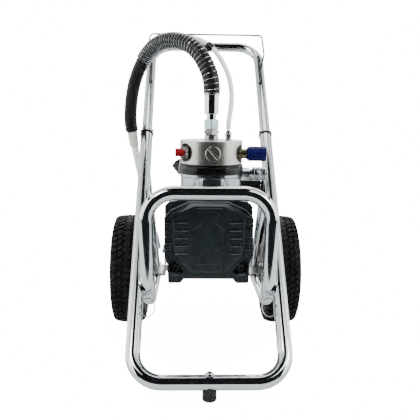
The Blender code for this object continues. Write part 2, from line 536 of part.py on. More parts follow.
def build_head():
    """Stainless pump head with its two side pockets, bores, plug, ball and inlet valve."""
    center, plug_at = (PUMP_X, PUMP_Y, 0), (PLUG_X, PUMP_Y, PLUG_Z)
    rim, plug_seat, ball_seat = 0.0012, 0.0450, 0.0380
    head = turned("pump_head", [(0, HEAD_BASE), (HEAD_R - rim, HEAD_BASE), (HEAD_R, HEAD_BASE + rim),
                                (HEAD_R, HEAD_TOP - rim), (HEAD_R - rim, HEAD_TOP), (0, HEAD_TOP)],
                  "steel", center, steps=32)
    cut(head,
        disc("head_chamber", 0.030, HEAD_BASE - 0.01, HEAD_BASE + 0.004, "steel", center, steps=28),
        disc("inlet_bore", INLET_R + GAP, HEAD_BASE + 0.002, HEAD_TOP + 0.01, "steel", center, steps=20),
        disc("plug_room", PLUG_R + GAP, plug_seat, 0.09, "steel", plug_at, -Y),
        disc("ball_room", 0.0070, 0.030, plug_seat + 0.001, "steel", plug_at, -Y, 20),
        disc("button_pocket", POCKET_R, 0, 0.04, "steel", BUTTON_SEAT, -X, 28),
        disc("relief_pocket", POCKET_R, 0, 0.04, "steel", RELIEF_SEAT, X, 28),
        disc("button_room", BUTTON_STEM_R + GAP, -0.020, 0.001, "steel", BUTTON_SEAT, -X, 16),
        disc("stem_room", RELIEF_STEM_R + GAP, -0.012, 0.001, "steel", RELIEF_SEAT, X, 16),
        disc("return_port", RETURN_STEM_R + GAP, HEAD_TOP - 0.012, HEAD_TOP + 0.01, "steel",
             (RETURN_ROUTE[0][0], RETURN_ROUTE[0][1], 0), steps=16))
    disc("inlet_valve", INLET_R - 0.0005, HEAD_BASE + 0.0025, HEAD_TOP - 0.018, "steel", center, steps=16)

    slot_half, slot_floor, face = 0.0012, 0.0625, 0.0650
    plug = turned("outlet_plug", [(0, plug_seat + GAP), (PLUG_R, plug_seat + GAP), (PLUG_R, face - 0.001),
                                  (PLUG_R - 0.001, face), (0, face)], "steel", plug_at, -Y, 24)
    slot = extruded("plug_slot", [(-0.020, -slot_half), (0.020, -slot_half), (0.020, slot_half),
                                  (-0.020, slot_half)], slot_floor, face + 0.005, "steel", plug_at, -Y)
    slot.matrix_world = slot.matrix_world @ Matrix.Rotation(SLOT_TURN, 4, "Z")
    cut(plug, slot)
    ball = bmesh.new()
    bmesh.ops.create_icosphere(ball, subdivisions=2, radius=0.0064)
    add_part("outlet_ball", ball, "steel", (PLUG_X, PUMP_Y - ball_seat, PLUG_Z))


def build_controls():
    """Pusher button in its collar, and the relief valve with its knob, in the head's side pockets."""
    collar_top, cap_base, cap_top, cap_r = 0.0076, 0.0118, 0.0279, 0.0082
    turned("pusher_collar", [(BUTTON_STEM_R + GAP, GAP), (0.0088, GAP), (0.0088, 0.0034),
                             (0.0072, 0.0040), (0.0072, collar_top), (BUTTON_STEM_R + GAP, collar_top)],
           "steel", BUTTON_SEAT, -X, 20)
    turned("pusher_button", [(0, -0.0140), (BUTTON_STEM_R, -0.0140), (BUTTON_STEM_R, cap_base),
                             (cap_r - 0.0008, cap_base), (cap_r, cap_base + 0.0010),
                             (cap_r, cap_top - 0.0040), (cap_r - 0.0022, cap_top - 0.0008), (0, cap_top)],
           "red", BUTTON_SEAT, -X, 20)

    sleeve_r, sleeve_top, pin_r, pin_top = 0.0100, 0.0227, 0.0058, 0.0370
    knob_low, knob_wide, knob_top, knob_r = sleeve_top + GAP, 0.0266, 0.0618, 0.0152
    turned("relief_stem", [(0, -0.0115), (RELIEF_STEM_R, -0.0115), (RELIEF_STEM_R, GAP), (sleeve_r, GAP),
                           (sleeve_r, sleeve_top), (pin_r, sleeve_top), (pin_r, pin_top), (0, pin_top)],
           "brass", RELIEF_SEAT, X, 20)
    turned("relief_knob", [(0, knob_top), (knob_r - 0.0015, knob_top), (knob_r, knob_top - 0.0015),
                           (knob_r, knob_wide), (0.0118, knob_low), (pin_r + GAP, knob_low),
                           (pin_r + GAP, pin_top + GAP), (0, pin_top + GAP)],
           "blue", RELIEF_SEAT, X, 24)


def build_outlet():
    """Hollow outlet with its hexagon and threaded end, where the paint hose screws on."""
    center = (OUTLET_X, PUMP_Y, OUTLET_Z)
    bore, neck_r, thread_r, tip_r = 0.0030, 0.0105, 0.0147, 0.0126
    hex_high, thread_low, thread_high, end = 0.0172, 0.0225, 0.0500, 0.0545
    outlet = turned("outlet_fitting", [(bore, -0.010), (PORT_R, -0.010), (PORT_R, GAP), (neck_r, GAP),
                                       (neck_r, thread_low), (thread_r, thread_low),
                                       (thread_r, thread_high), (tip_r, end), (bore, end)],
                    "chrome", center, X, 24)
    join(outlet, extruded("outlet_hex", hexagon(0.0220), 2 * GAP, hex_high, "chrome", center, X))
    cut(outlet, disc("outlet_bore", 0.0045, -0.02, 0.08, "chrome", center, X, 16))


def build_lines():
    """Inlet adapter, swivel nut and ferrule, the suction hose with its guard, and the return tube."""
    center = (PUMP_X, PUMP_Y, 0)
    hex_low, hex_high = 0.4625, NUT_LOW - GAP
    collar_r, neck_r, spigot_r, spigot_top = 0.0145, 0.0110, 0.0080, 0.4800
    adapter = turned("inlet_adapter", [(0, HEAD_TOP - 0.015), (INLET_R, HEAD_TOP - 0.015),
                                       (INLET_R, HEAD_TOP + GAP), (collar_r, HEAD_TOP + GAP),
                                       (collar_r, hex_low - 0.0025), (neck_r, hex_low - 0.0005),
                                       (neck_r, hex_high), (spigot_r, hex_high), (spigot_r, spigot_top),
                                       (0, spigot_top)],
                     "steel", center, steps=24)
    join(adapter, extruded("adapter_hex", hexagon(0.0290), hex_low, hex_high - 0.0005, "steel", center))
    nut = extruded("swivel_nut", hexagon(0.0295), NUT_LOW, NUT_HIGH, "zinc", center, bevel=0.0008)
    cut(nut, disc("nut_bore", spigot_r + GAP, NUT_LOW - 0.01, NUT_HIGH + 0.01, "zinc", center, steps=24))
    neck_top, skirt = NUT_HIGH + GAP, 0.0015
    turned("hose_ferrule", [(0, spigot_top + GAP), (spigot_r, spigot_top + GAP), (spigot_r, neck_top),
                            (0.0100, neck_top), (0.0100, FERRULE_LOW), (FERRULE_R - skirt, FERRULE_LOW),
                            (FERRULE_R, FERRULE_LOW + skirt), (FERRULE_R, HOSE_START), (0, HOSE_START)],
           "chrome", center, steps=24)

    cord("suction_hose", HOSE_ROUTE, HOSE_R, "rubber")
    route = smooth_route(HOSE_ROUTE, 4 * HOSE_R)
    last = round(GUARD_SHARE * (len(route) - 1))
    swept("spring_guard", route[:last + 1], HOSE_R + 0.0034, "steel", bore=HOSE_R + 0.0013, sides=12)
    cord("return_tube", RETURN_ROUTE, RETURN_R, "clear")

    sleeve_top, sleeve_end, tube_end = Vector(SLEEVE_TOP), Vector(SLEEVE_END), Vector(TUBE_END)
    sleeve, tube = sleeve_end - sleeve_top, tube_end - sleeve_end
    length = sleeve.length
    turned("hose_sleeve", [(0, 0.0012), (0.0118, 0.0012), (0.0105, length - 0.004), (0.0110, length),
                           (0, length)], "sleeve", sleeve_top, sleeve.normalized(), 20)
    disc("suction_tube", 0.0080, 0.0010, tube.length, "clear", sleeve_end, tube.normalized(), 16)
    turned("suction_strainer", [(0, GAP), (0.0100, GAP), (0.0110, 0.003), (0.0110, 0.036), (0.0090, 0.040),
                                (0, 0.040)], "steel", tube_end, tube.normalized(), 20)

    flange_base, flange_low, flange_high, spout_low = HEAD_TOP + GAP, 0.4600, 0.4660, 0.4665
    turned("return_fitting", [(0, HEAD_TOP - 0.0115), (RETURN_STEM_R, HEAD_TOP - 0.0115),
                              (RETURN_STEM_R, flange_base), (0.0060, flange_base), (0.0060, flange_low),
                              (0.0072, flange_low + 0.0005), (0.0072, flange_high), (0.0045, spout_low),
                              (0.0045, 0.4715), (0, 0.4715)],
           "steel", (RETURN_ROUTE[0][0], RETURN_ROUTE[0][1], 0), steps=16)


def main():
    for item in list(bpy.data.objects):
        bpy.data.objects.remove(item, do_unlink=True)
    guard_room = build_cart()
    build_wheels()
    build_handle()
    build_motor(guard_room)
    build_cowl()
    build_switch_box()
    build_hydraulics()
    build_head()
    build_controls()
    build_outlet()
    build_lines()


main()
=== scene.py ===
"""Looks of the airless paint sprayer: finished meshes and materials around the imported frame."""
import json
from math import cos, pi, radians, sin, sqrt, tan

import bmesh
import bpy
from mathutils import Matrix, Vector


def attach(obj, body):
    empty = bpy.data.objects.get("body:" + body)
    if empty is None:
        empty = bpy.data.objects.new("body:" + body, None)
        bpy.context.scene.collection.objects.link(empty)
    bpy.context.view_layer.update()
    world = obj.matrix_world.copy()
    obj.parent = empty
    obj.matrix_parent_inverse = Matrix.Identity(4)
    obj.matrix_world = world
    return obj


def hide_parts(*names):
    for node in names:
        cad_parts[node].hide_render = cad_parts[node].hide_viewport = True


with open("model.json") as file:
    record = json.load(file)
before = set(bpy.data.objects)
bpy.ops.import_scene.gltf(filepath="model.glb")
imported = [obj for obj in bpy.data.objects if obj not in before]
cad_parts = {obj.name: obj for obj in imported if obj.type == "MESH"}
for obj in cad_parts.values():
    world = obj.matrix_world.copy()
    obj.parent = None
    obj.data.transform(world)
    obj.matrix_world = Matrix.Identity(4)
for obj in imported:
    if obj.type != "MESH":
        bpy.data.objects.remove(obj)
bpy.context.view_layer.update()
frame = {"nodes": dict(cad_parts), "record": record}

X, Y, Z = Vector((1, 0, 0)), Vector((0, 1, 0)), Vector((0, 0, 1))
GAP = 0.0003


# ---------------------------------------------------------------- camera, floor and light

def make_camera():
    """Eye a little left of the cart's middle and just above the handle's height, level with the pump."""
    data = bpy.data.cameras.new("camera")
    data.sensor_width = 36
    data.lens = 51.4
    camera = bpy.data.objects.new("camera", data)
    bpy.context.collection.objects.link(camera)
    yaw, pitch, roll = 0.033, 0.163, 0.012
    camera.matrix_world = (Matrix.Translation((-0.036, -1.3226, 0.509)) @ Matrix.Rotation(-yaw, 4, "Z")
                           @ Matrix.Rotation(pi / 2 - pitch, 4, "X") @ Matrix.Rotation(roll, 4, "Z"))
    bpy.context.scene.camera = camera


def plain_material(name, color, roughness=0.6, strength=0.0):
    """Even surface for the floor and the studio cards."""
    made = bpy.data.materials.new(name)
    made.use_nodes = True
    shader = made.node_tree.nodes["Principled BSDF"]
    shader.inputs["Base Color"].default_value = (*color, 1)
    shader.inputs["Roughness"].default_value = roughness
    shader.inputs["Specular IOR Level"].default_value = 0
    shader.inputs["Emission Color"].default_value = (*color, 1)
    shader.inputs["Emission Strength"].default_value = strength
    return made


def stage_only(made, material, *rays):
    """Stage object that the named kinds of ray pass through."""
    made.data.materials.append(material)
    for ray in rays:
        setattr(made, f"visible_{ray}", False)


def card(name, center, size, facing, color, strength=0.0):
    """Flat studio card seen only in reflections."""
    bpy.ops.mesh.primitive_plane_add(size=1)
    made = bpy.context.object
    made.name = name
    made.matrix_world = (Matrix.Translation(center) @ Z.rotation_difference(Vector(facing)).to_matrix().to_4x4()
                         @ Matrix.Diagonal((*size, 1, 1)))
    stage_only(made, plain_material(name, color, 0.9, strength), "camera", "shadow", "diffuse", "transmission")


def area_light(name, center, target, size, power):
    data = bpy.data.lights.new(name, "AREA")
    data.shape = "DISK"
    data.size, data.energy = size, power
    light = bpy.data.objects.new(name, data)
    bpy.context.collection.objects.link(light)
    away = Vector(center) - Vector(target)
    light.matrix_world = Matrix.Translation(center) @ Z.rotation_difference(away).to_matrix().to_4x4()


def make_studio():
    """Pale floor in a soft light tent, with the darker room in front that the chrome mirrors."""
    bpy.ops.mesh.primitive_plane_add(size=8, location=(0, 0, -0.0005))
    floor = bpy.context.object
    floor.name = "floor"
    stage_only(floor, plain_material("floor", (1, 1, 1), 0.7, 14), "diffuse", "glossy", "transmission")
    bpy.ops.mesh.primitive_plane_add(size=14, location=(0, 0, -0.0010))
    table = bpy.context.object
    table.name = "table"
    stage_only(table, plain_material("table", (0.50, 0.52, 0.52), 0.9, 0.25), "camera")
    bpy.ops.mesh.primitive_ico_sphere_add(subdivisions=4, radius=6.5)
    tent = bpy.context.object
    tent.name = "tent"
    stage_only(tent, plain_material("tent", (1, 1, 1), 0.9, 1.1), "camera")
    world = bpy.data.worlds.new("studio")
    world.use_nodes = True
    world.node_tree.nodes["Background"].inputs["Color"].default_value = (1, 1, 1, 1)
    world.node_tree.nodes["Background"].inputs["Strength"].default_value = 16.5
    bpy.context.scene.world = world
    area_light("key", (-1.5, -1.4, 2.3), (0, 0, 0.3), 0.9, 26)
    area_light("fill", (1.9, -1.0, 1.6), (0, 0, 0.3), 0.9, 18)
    area_light("back", (0.4, 2.0, 2.2), (0, 0, 0.3), 1.2, 16)
    dark, grey = (0.006, 0.006, 0.007), (0.4, 0.41, 0.41)
    card("dark_front", (0, -2.6, 1.5), (6.6, 3.0), (0, 1, 0), dark)
    card("dark_front_floor", (0, -1.85, 0.004), (5.2, 2.0), (0, 0, 1), dark)
    card("dark_front_ceiling", (0, -1.6, 3.0), (3.0, 1.9), (0, 0, -1), dark)
    card("dark_high", (0.62, 0.5, 3.05), (0.40, 3.2), (0, 0, -1), dark)
    for side, word in ((-1, "left"), (1, "right")):
        card(f"grey_high_{word}", (side * 1.7, 0.5, 2.9), (1.6, 3.0), (-side * 0.5, 0, -1), grey, 0.8)
        card(f"dark_side_{word}", (side * 2.4, 0.6, 1.9), (0.35, 3.0), (-side, 0, -0.4), dark)
        card(f"grey_back_{word}", (side * 2.3, 2.6, 1.1), (2.2, 2.4), (-side, -1, 0), grey, 0.7)


# ---------------------------------------------------------------- materials, one per slot of the record

SOCKETS = {"transmission_weight": "Transmission Weight", "specular_ior_level": "Specular IOR Level"}


def finish(name, color, roughness, metallic=0.0, spread=0.12, size=40.0, stretch=(1, 1, 1), rough_spread=0.25,
           bump=0.0, grain=400.0, depth=0.0004, dirt=None, top_light=None, **sockets):
    """Principled material whose colour, roughness and fine relief all vary with layered noise.

    dirt is a colour that settles in patches, and the colour for what faces up is painted light, lighter on top as if
    lit from above; sockets are shader inputs that stay the same all over.
    """
    made = bpy.data.materials.new(name)
    made.use_nodes = True
    nodes, links = made.node_tree.nodes, made.node_tree.links
    shader = nodes["Principled BSDF"]
    shader.inputs["Metallic"].default_value = metallic
    for socket, value in sockets.items():
        shader.inputs[SOCKETS[socket]].default_value = value
    coords = nodes.new("ShaderNodeTexCoord")
    mapping = nodes.new("ShaderNodeMapping")
    mapping.inputs["Scale"].default_value = stretch
    links.new(coords.outputs["Object"], mapping.inputs["Vector"])

    def noise(scale, detail):
        node = nodes.new("ShaderNodeTexNoise")
        node.inputs["Scale"].default_value = scale
        node.inputs["Detail"].default_value = detail
        links.new(mapping.outputs["Vector"], node.inputs["Vector"])
        return node.outputs["Fac"]

    def spread_to(source, low, high):
        node = nodes.new("ShaderNodeMapRange")
        node.inputs["From Min"].default_value = 0.3
        node.inputs["From Max"].default_value = 0.7
        node.inputs["To Min"].default_value = low
        node.inputs["To Max"].default_value = high
        links.new(source, node.inputs["Value"])
        return node.outputs["Result"]

    def blend_colors(factor, first, second):
        node = nodes.new("ShaderNodeMix")
        node.data_type = "RGBA"
        links.new(factor, node.inputs[0])
        for socket, value in ((node.inputs[6], first), (node.inputs[7], second)):
            if isinstance(value, tuple):
                socket.default_value = (*value, 1)
            else:
                links.new(value, socket)
        return node.outputs[2]

    broad = noise(size, 5)
    dark = tuple(channel * (1 - spread) for channel in color)
    light = tuple(min(1.0, channel * (1 + spread)) for channel in color)
    tone = blend_colors(spread_to(broad, 0, 1), dark, light)
    if dirt:
        patches = spread_to(noise(size * 0.35, 8), -0.25, 0.5)
        tone = blend_colors(patches, tone, dirt)
    # painted light: faces that point up are blended towards a lighter colour, as if lit from above
    if top_light:
        facing = nodes.new("ShaderNodeSeparateXYZ")
        links.new(nodes.new("ShaderNodeNewGeometry").outputs["Normal"], facing.inputs[0])
        tone = blend_colors(spread_to(facing.outputs["Z"], 0, 0.8), tone, top_light)
    links.new(tone, shader.inputs["Base Color"])
    low, high = roughness * (1 - rough_spread), min(1.0, roughness * (1 + rough_spread))
    links.new(spread_to(noise(size * 2.3, 6), low, high), shader.inputs["Roughness"])
    if bump:
        relief = nodes.new("ShaderNodeBump")
        relief.inputs["Strength"].default_value = bump
        relief.inputs["Distance"].default_value = depth
        links.new(noise(grain, 3), relief.inputs["Height"])
        links.new(relief.outputs["Normal"], shader.inputs["Normal"])
    return made


def make_finishes():
    """Every slot's material by name."""
    turned_lines = (1.5, 1.5, 60)
    return {
        "chrome_tube": finish("chrome_tube", (0.58, 0.60, 0.61), 0.08, 1.0, 0.02, 25, rough_spread=0.4),
        "rack_wire": finish("rack_wire", (0.030, 0.031, 0.033), 0.45, 0.2, 0.15, 60, bump=0.05, grain=300,
                            specular_ior_level=0.3),
        "bright_steel": finish("bright_steel", (0.38, 0.38, 0.375), 0.26, 1.0, 0.08, 50, turned_lines, bump=0.05,
                               grain=30),
        "inner_steel": finish("inner_steel", (0.50, 0.50, 0.51), 0.32, 1.0, 0.1, 50, bump=0.06, grain=200),
        "stainless": finish("stainless", (0.50, 0.48, 0.445), 0.30, 1.0, 0.03, 22, turned_lines,
                            rough_spread=0.06),
        "spring_wire": finish("spring_wire", (0.45, 0.46, 0.475), 0.18, 1.0, 0.06, 80, bump=0.03, grain=300),
        "zinc": finish("zinc", (0.42, 0.52, 0.56), 0.28, 1.0, 0.10, 90, bump=0.08, grain=500),
        "tyre_rubber": finish("tyre_rubber", (0.0034, 0.0036, 0.0034), 0.66, 0.0, 0.30, 30, bump=0.5, grain=900,
                              depth=0.0003, dirt=(0.007, 0.007, 0.006), specular_ior_level=0.12),
        "rim_paint": finish("rim_paint", (0.17, 0.16, 0.14), 0.42, 0.25, 0.12, 45, bump=0.15, grain=700,
                            dirt=(0.10, 0.09, 0.078)),
        "soft_rubber": finish("soft_rubber", (0.006, 0.006, 0.006), 0.6, 0.0, 0.2, 60, bump=0.3, grain=900,
                              specular_ior_level=0.3),
        "hose_rubber": finish("hose_rubber", (0.0030, 0.0034, 0.0036), 0.40, 0.0, 0.2, 50, bump=0.15, grain=1100,
                              depth=0.0002, specular_ior_level=0.18),
        "black_plastic": finish("black_plastic", (0.0026, 0.0026, 0.0028), 0.40, 0.0, 0.2, 70, bump=0.2, grain=1400,
                                depth=0.0002, specular_ior_level=0.25),
        "clamp_black": finish("clamp_black", (0.0020, 0.0020, 0.0022), 0.20, 0.0, 0.2, 50, bump=0.03, grain=300,
                              specular_ior_level=0.25),
        "aluminium": finish("aluminium", (0.46, 0.50, 0.52), 0.12, 1.0, 0.05, 18, rough_spread=0.2),
        "winding": finish("winding", (0.35, 0.20, 0.12), 0.5, 0.4, 0.2, 80, bump=0.4, grain=500),
        # the cowl's up-facing faces get a lighter colour: painted light from above
        "cowl_plastic": finish("cowl_plastic", (0.0042, 0.0072, 0.0085), 0.36, 0.0, 0.10, 35, bump=0.08, grain=1500,
                               depth=0.0002, top_light=(0.095, 0.102, 0.104), specular_ior_level=0.26),
        "brass": finish("brass", (0.19, 0.172, 0.112), 0.30, 1.0, 0.12, 40, turned_lines, bump=0.08, grain=40),
        "blue_knob": finish("blue_knob", (0.0006, 0.0003, 0.034), 0.36, 0.0, 0.12, 60, bump=0.1, grain=1200,
                            depth=0.0002, specular_ior_level=0.10),
        "red_cap": finish("red_cap", (0.13, 0.0005, 0.003), 0.36, 0.0, 0.10, 60, bump=0.1, grain=1200,
                          depth=0.0002, specular_ior_level=0.12),
        "sleeve_plastic": finish("sleeve_plastic", (0.42, 0.41, 0.37), 0.45, 0.0, 0.06, 60, bump=0.1, grain=900),
        "clear_plastic": finish("clear_plastic", (0.80, 0.81, 0.80), 0.30, 0.0, 0.03, 50, bump=0.05, grain=500,
                                transmission_weight=0.30),
    }


FINISHES = make_finishes()


# ---------------------------------------------------------------- mesh tools

def bodies_of_nodes():
    """CAD body of each CAD node."""
    return {node: body for body, names in frame["record"]["behaviour"]["bodies"].items() for node in names}


BODY_OF = bodies_of_nodes()
PIECES = []


def turned(profile, steps=64):
    """Solid of revolution about Z; a profile off the axis closes on itself as a ring."""
    bm = bmesh.new()
    points = [bm.verts.new((radius, 0, height)) for radius, height in profile]
    edges = [bm.edges.new(pair) for pair in zip(points, points[1:])]
    if profile[0][0] > 0:
        edges.append(bm.edges.new((points[-1], points[0])))
    bmesh.ops.spin(bm, geom=points + edges, cent=(0, 0, 0), axis=(0, 0, 1), dvec=(0, 0, 0), angle=2 * pi,
                   steps=steps, use_merge=True, use_duplicate=False)
    bmesh.ops.remove_doubles(bm, verts=bm.verts, dist=1e-6)
    return bm


def extruded(outline, low, high, bevel=0.0, segments=2):
    """Flat outline pushed along Z from low to high, with rounded edges."""
    bm = bmesh.new()
    base = bm.faces.new([bm.verts.new((a, b, low)) for a, b in outline])
    pushed = bmesh.ops.extrude_face_region(bm, geom=[base])["geom"]
    bmesh.ops.translate(bm, vec=(0, 0, high - low),
                        verts=[item for item in pushed if isinstance(item, bmesh.types.BMVert)])
    bmesh.ops.recalc_face_normals(bm, faces=bm.faces)
    if bevel:
        bmesh.ops.bevel(bm, geom=list(bm.edges), offset=bevel, segments=segments, affect="EDGES", profile=0.5)
    return bm


def block(low, high, bevel=0.0, segments=2):
    """Box between two corners."""
    low, high = ([f(a, b) for a, b in zip(low, high)] for f in (min, max))
    outline = [(low[0], low[1]), (high[0], low[1]), (high[0], high[1]), (low[0], high[1])]
    return extruded(outline, low[2], high[2], bevel, segments)


def hexagon(across_flats, turn=0.0):
    """Hexagon from its size across flats, turned by an angle."""
    reach = across_flats / 2 / cos(pi / 6)
    return [(reach * cos(turn + k * pi / 3), reach * sin(turn + k * pi / 3)) for k in range(6)]


def rounded(corners, radii, steps=14):
    """Path through corners, with each inner corner replaced by an arc of its own radius."""
    path = [Vector(corners[0])]
    for before, corner, after, radius in zip(corners, corners[1:], corners[2:], radii):
        corner = Vector(corner)
        back = (Vector(before) - corner).normalized()
        ahead = (Vector(after) - corner).normalized()
        half = back.angle(ahead) / 2
        middle = corner + (back + ahead).normalized() * radius / sin(half)
        start = corner + back * radius / tan(half) - middle
        end = corner + ahead * radius / tan(half) - middle
        turn = start.angle(end) / steps
        path += [middle + Matrix.Rotation(k * turn, 3, start.cross(end)) @ start for k in range(steps + 1)]
    path.append(Vector(corners[-1]))
    return path


def smooth_route(points, spacing):
    """Points about spacing apart on the Catmull-Rom curve through a route's points."""
    points = [Vector(point) for point in points]
    points = [2 * points[0] - points[1], *points, 2 * points[-1] - points[-2]]
    route = []
    for p0, p1, p2, p3 in zip(points, points[1:], points[2:], points[3:]):
        count = max(1, round((p2 - p1).length / spacing))
        for k in range(count):
            t = k / count
            route.append(0.5 * (2 * p1 + (p2 - p0) * t + (2 * p0 - 5 * p1 + 4 * p2 - p3) * t * t
                                + (3 * p1 - p0 - 3 * p2 + p3) * t ** 3))
    return route + [points[-2]]


def path_frames(path):
    """(point, side, up, heading) along a path, on a cross-section that doesn't twist."""
    path = [Vector(point) for point in path]
    steps = [(b - a).normalized() for a, b in zip(path, path[1:])]
    headings = [steps[0]] + [(a + b).normalized() for a, b in zip(steps, steps[1:])] + [steps[-1]]
    side = headings[0].orthogonal().normalized()
    frames = []
    for point, heading in zip(path, headings):
        side = (side - heading * side.dot(heading)).normalized()
        frames.append((point, side, heading.cross(side), heading))
    return frames


def swept(path, radius, bore=0.0, sides=32):
    """Tube or rod along a path; radius is a number, or one for each point."""
    frames = path_frames(path)
    radii = radius if isinstance(radius, list) else [radius] * len(frames)
    bm = bmesh.new()

    def skin(scale):
        loops = [[bm.verts.new(point + scale * reach * (side * cos(2 * pi * k / sides) + up * sin(2 * pi * k / sides)))
                  for k in range(sides)] for (point, side, up, _), reach in zip(frames, radii)]
        for near, far in zip(loops, loops[1:]):
            for k in range(sides):
                bm.faces.new((near[k - 1], near[k], far[k], far[k - 1]))
        return loops[0], loops[-1]

    ends = skin(1.0)
    if bore:
        for outer, inner in zip(ends, skin(bore / radii[0])):
            for k in range(sides):
                bm.faces.new((outer[k - 1], outer[k], inner[k], inner[k - 1]))
    else:
        for end in ends:
            bm.faces.new(end)
    return bm


def merged(*shapes):
    """One bmesh of several closed shapes; a shape may come with a matrix as (shape, matrix)."""
    whole = bmesh.new()
    for shape in shapes:
        shape, matrix = shape if isinstance(shape, tuple) else (shape, Matrix.Identity(4))
        bmesh.ops.recalc_face_normals(shape, faces=shape.faces)
        mesh = bpy.data.meshes.new("shape")
        shape.to_mesh(mesh)
        shape.free()
        mesh.transform(matrix)
        whole.from_mesh(mesh)
        bpy.data.meshes.remove(mesh)
    return whole


def along(axis, center=(0, 0, 0), turn=0.0):
    """Matrix that stands local +Z on an axis through center."""
    return (Matrix.Translation(center) @ Z.rotation_difference(Vector(axis)).to_matrix().to_4x4()
            @ Matrix.Rotation(turn, 4, "Z"))


def piece(name, bm, slot, matrix=None, node=None, body=None, sharp=35):
    """Finished object from a bmesh, riding on its body, in place of a CAD node if one is named."""
    bmesh.ops.recalc_face_normals(bm, faces=bm.faces)
    mesh = bpy.data.meshes.new(name)
    bm.to_mesh(mesh)
    bm.free()
    mesh.materials.append(FINISHES[slot])
    mesh.shade_smooth()
    mesh.set_sharp_from_angle(angle=radians(sharp))
    made = bpy.data.objects.new(name, mesh)
    bpy.context.collection.objects.link(made)
    made.matrix_world = matrix or Matrix.Identity(4)
    if node:
        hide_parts(node)
    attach(made, body or BODY_OF.get(node, "cart"))
    PIECES.append(made)
    return made


def carve(target, *cutters, operation="DIFFERENCE"):
    """Boolean of an object with bmesh cutters, applied at once."""
    for bm, matrix in cutters:
        bmesh.ops.recalc_face_normals(bm, faces=bm.faces)
        mesh = bpy.data.meshes.new("cutter")
        bm.to_mesh(mesh)
        bm.free()
        cutter = bpy.data.objects.new("cutter", mesh)
        bpy.context.collection.objects.link(cutter)
        cutter.matrix_world = matrix
        modifier = target.modifiers.new("carve", "BOOLEAN")
        modifier.object, modifier.operation, modifier.solver = cutter, operation, "EXACT"
        bake_modifiers(target)
        bpy.data.objects.remove(cutter, do_unlink=True)
        bpy.data.meshes.remove(mesh)


def bake_modifiers(target):
    """Turns an object's modifiers into plain mesh."""
    bpy.context.view_layer.update()
    graph = bpy.context.evaluated_depsgraph_get()
    mesh = bpy.data.meshes.new_from_object(target.evaluated_get(graph))
    mesh.name = target.name
    target.modifiers.clear()
    target.data = mesh


def soften(target, width, segments=2):
    """Small rounded edges on a carved object."""
    modifier = target.modifiers.new("soften", "BEVEL")
    modifier.width, modifier.segments, modifier.limit_method = width, segments, "ANGLE"
    modifier.angle_limit = radians(35)
    bake_modifiers(target)
    target.data.shade_smooth()
    target.data.set_sharp_from_angle(angle=radians(35))


def even_normals():
    """Flat faces keep flat shading next to their small rounded edges."""
    for made in PIECES:
        modifier = made.modifiers.new("even", "WEIGHTED_NORMAL")
        modifier.keep_sharp = True
        bake_modifiers(made)


# ---------------------------------------------------------------- suction hose and return tube

HOSE_R, RETURN_R = 0.0145, 0.0052
HOSE_ROUTE = [
    (0.0060, -0.0756, 0.5455), (0.0057, -0.0756, 0.5600), (0.0020, -0.0735, 0.5815), (-0.0075, -0.0665, 0.6045),
    (-0.0215, -0.0560, 0.6275), (-0.0420, -0.0390, 0.6460), (-0.0690, -0.0145, 0.6560), (-0.0960, 0.0110, 0.6560),
    (-0.1190, 0.0320, 0.6455), (-0.1385, 0.0490, 0.6250), (-0.1530, 0.0625, 0.6010), (-0.1640, 0.0740, 0.5740),
    (-0.1715, 0.0845, 0.5450), (-0.1758, 0.0940, 0.5150), (-0.1775, 0.1010, 0.4870), (-0.1745, 0.1044, 0.4610)]
RETURN_ROUTE = [
    (0.0420, -0.0640, 0.4722), (0.0424, -0.0640, 0.4880), (0.0465, -0.0620, 0.5180), (0.0475, -0.0595, 0.5480),
    (0.0420, -0.0555, 0.5780), (0.0320, -0.0500, 0.6030), (0.0190, -0.0410, 0.6250), (0.0040, -0.0290, 0.6430),
    (-0.0160, -0.0120, 0.6570), (-0.0400, 0.0080, 0.6650), (-0.0660, 0.0290, 0.6680), (-0.0920, 0.0480, 0.6630),
    (-0.1170, 0.0660, 0.6490), (-0.1350, 0.0790, 0.6270), (-0.1490, 0.0900, 0.6000), (-0.1590, 0.0990, 0.5700),
    (-0.1670, 0.1085, 0.5400), (-0.1710, 0.1160, 0.5100), (-0.1720, 0.1220, 0.4780), (-0.1700, 0.1255, 0.4450),
    (-0.1650, 0.1265, 0.4100), (-0.1580, 0.1265, 0.3700), (-0.1500, 0.1265, 0.3300), (-0.1430, 0.1265, 0.2950),
    (-0.1370, 0.1265, 0.2650)]
SLEEVE_TOP, SLEEVE_END = Vector((-0.1744, 0.1046, 0.4607)), Vector((-0.1695, 0.1064, 0.4260))
TUBE_END = Vector((-0.1255, 0.1110, 0.2150))
GUARD_SHARE, GUARD_R, GUARD_WIRE = 0.62, 0.0169, 0.0006
OPEN_PITCH, TIGHT_PITCH = 0.0105, 0.0046


def length_of(path):
    """Length of a path of points."""
    return sum((b - a).length for a, b in zip(path, path[1:]))


def coil_along(path, radius, wire, pitch_at, per_turn=20):
    """Helical wire round a path; pitch_at gives the pitch from the share of the path already passed."""
    frames = path_frames(path)
    total = length_of([frame[0] for frame in frames])
    ends, turn, done = [], 0.0, 0.0
    for k in range(per_turn + 1):
        point, side, up, heading = frames[0]
        angle = 2 * pi * k / per_turn
        ends.append(point + heading * wire + radius * (side * cos(angle) + up * sin(angle)))
    for (point, side, up, heading), (after, side_after, up_after, _) in zip(frames, frames[1:]):
        step = (after - point).length
        pitch = pitch_at(done / total)
        count = max(1, round(per_turn * step / pitch))
        for k in range(count):
            share = k / count
            angle = turn + 2 * pi * step * share / pitch
            across = side.lerp(side_after, share).normalized()
            upward = up.lerp(up_after, share).normalized()
            ends.append(point.lerp(after, share) + heading * wire
                        + radius * (across * cos(angle) + upward * sin(angle)))
        turn += 2 * pi * step / pitch
        done += step
    return ends


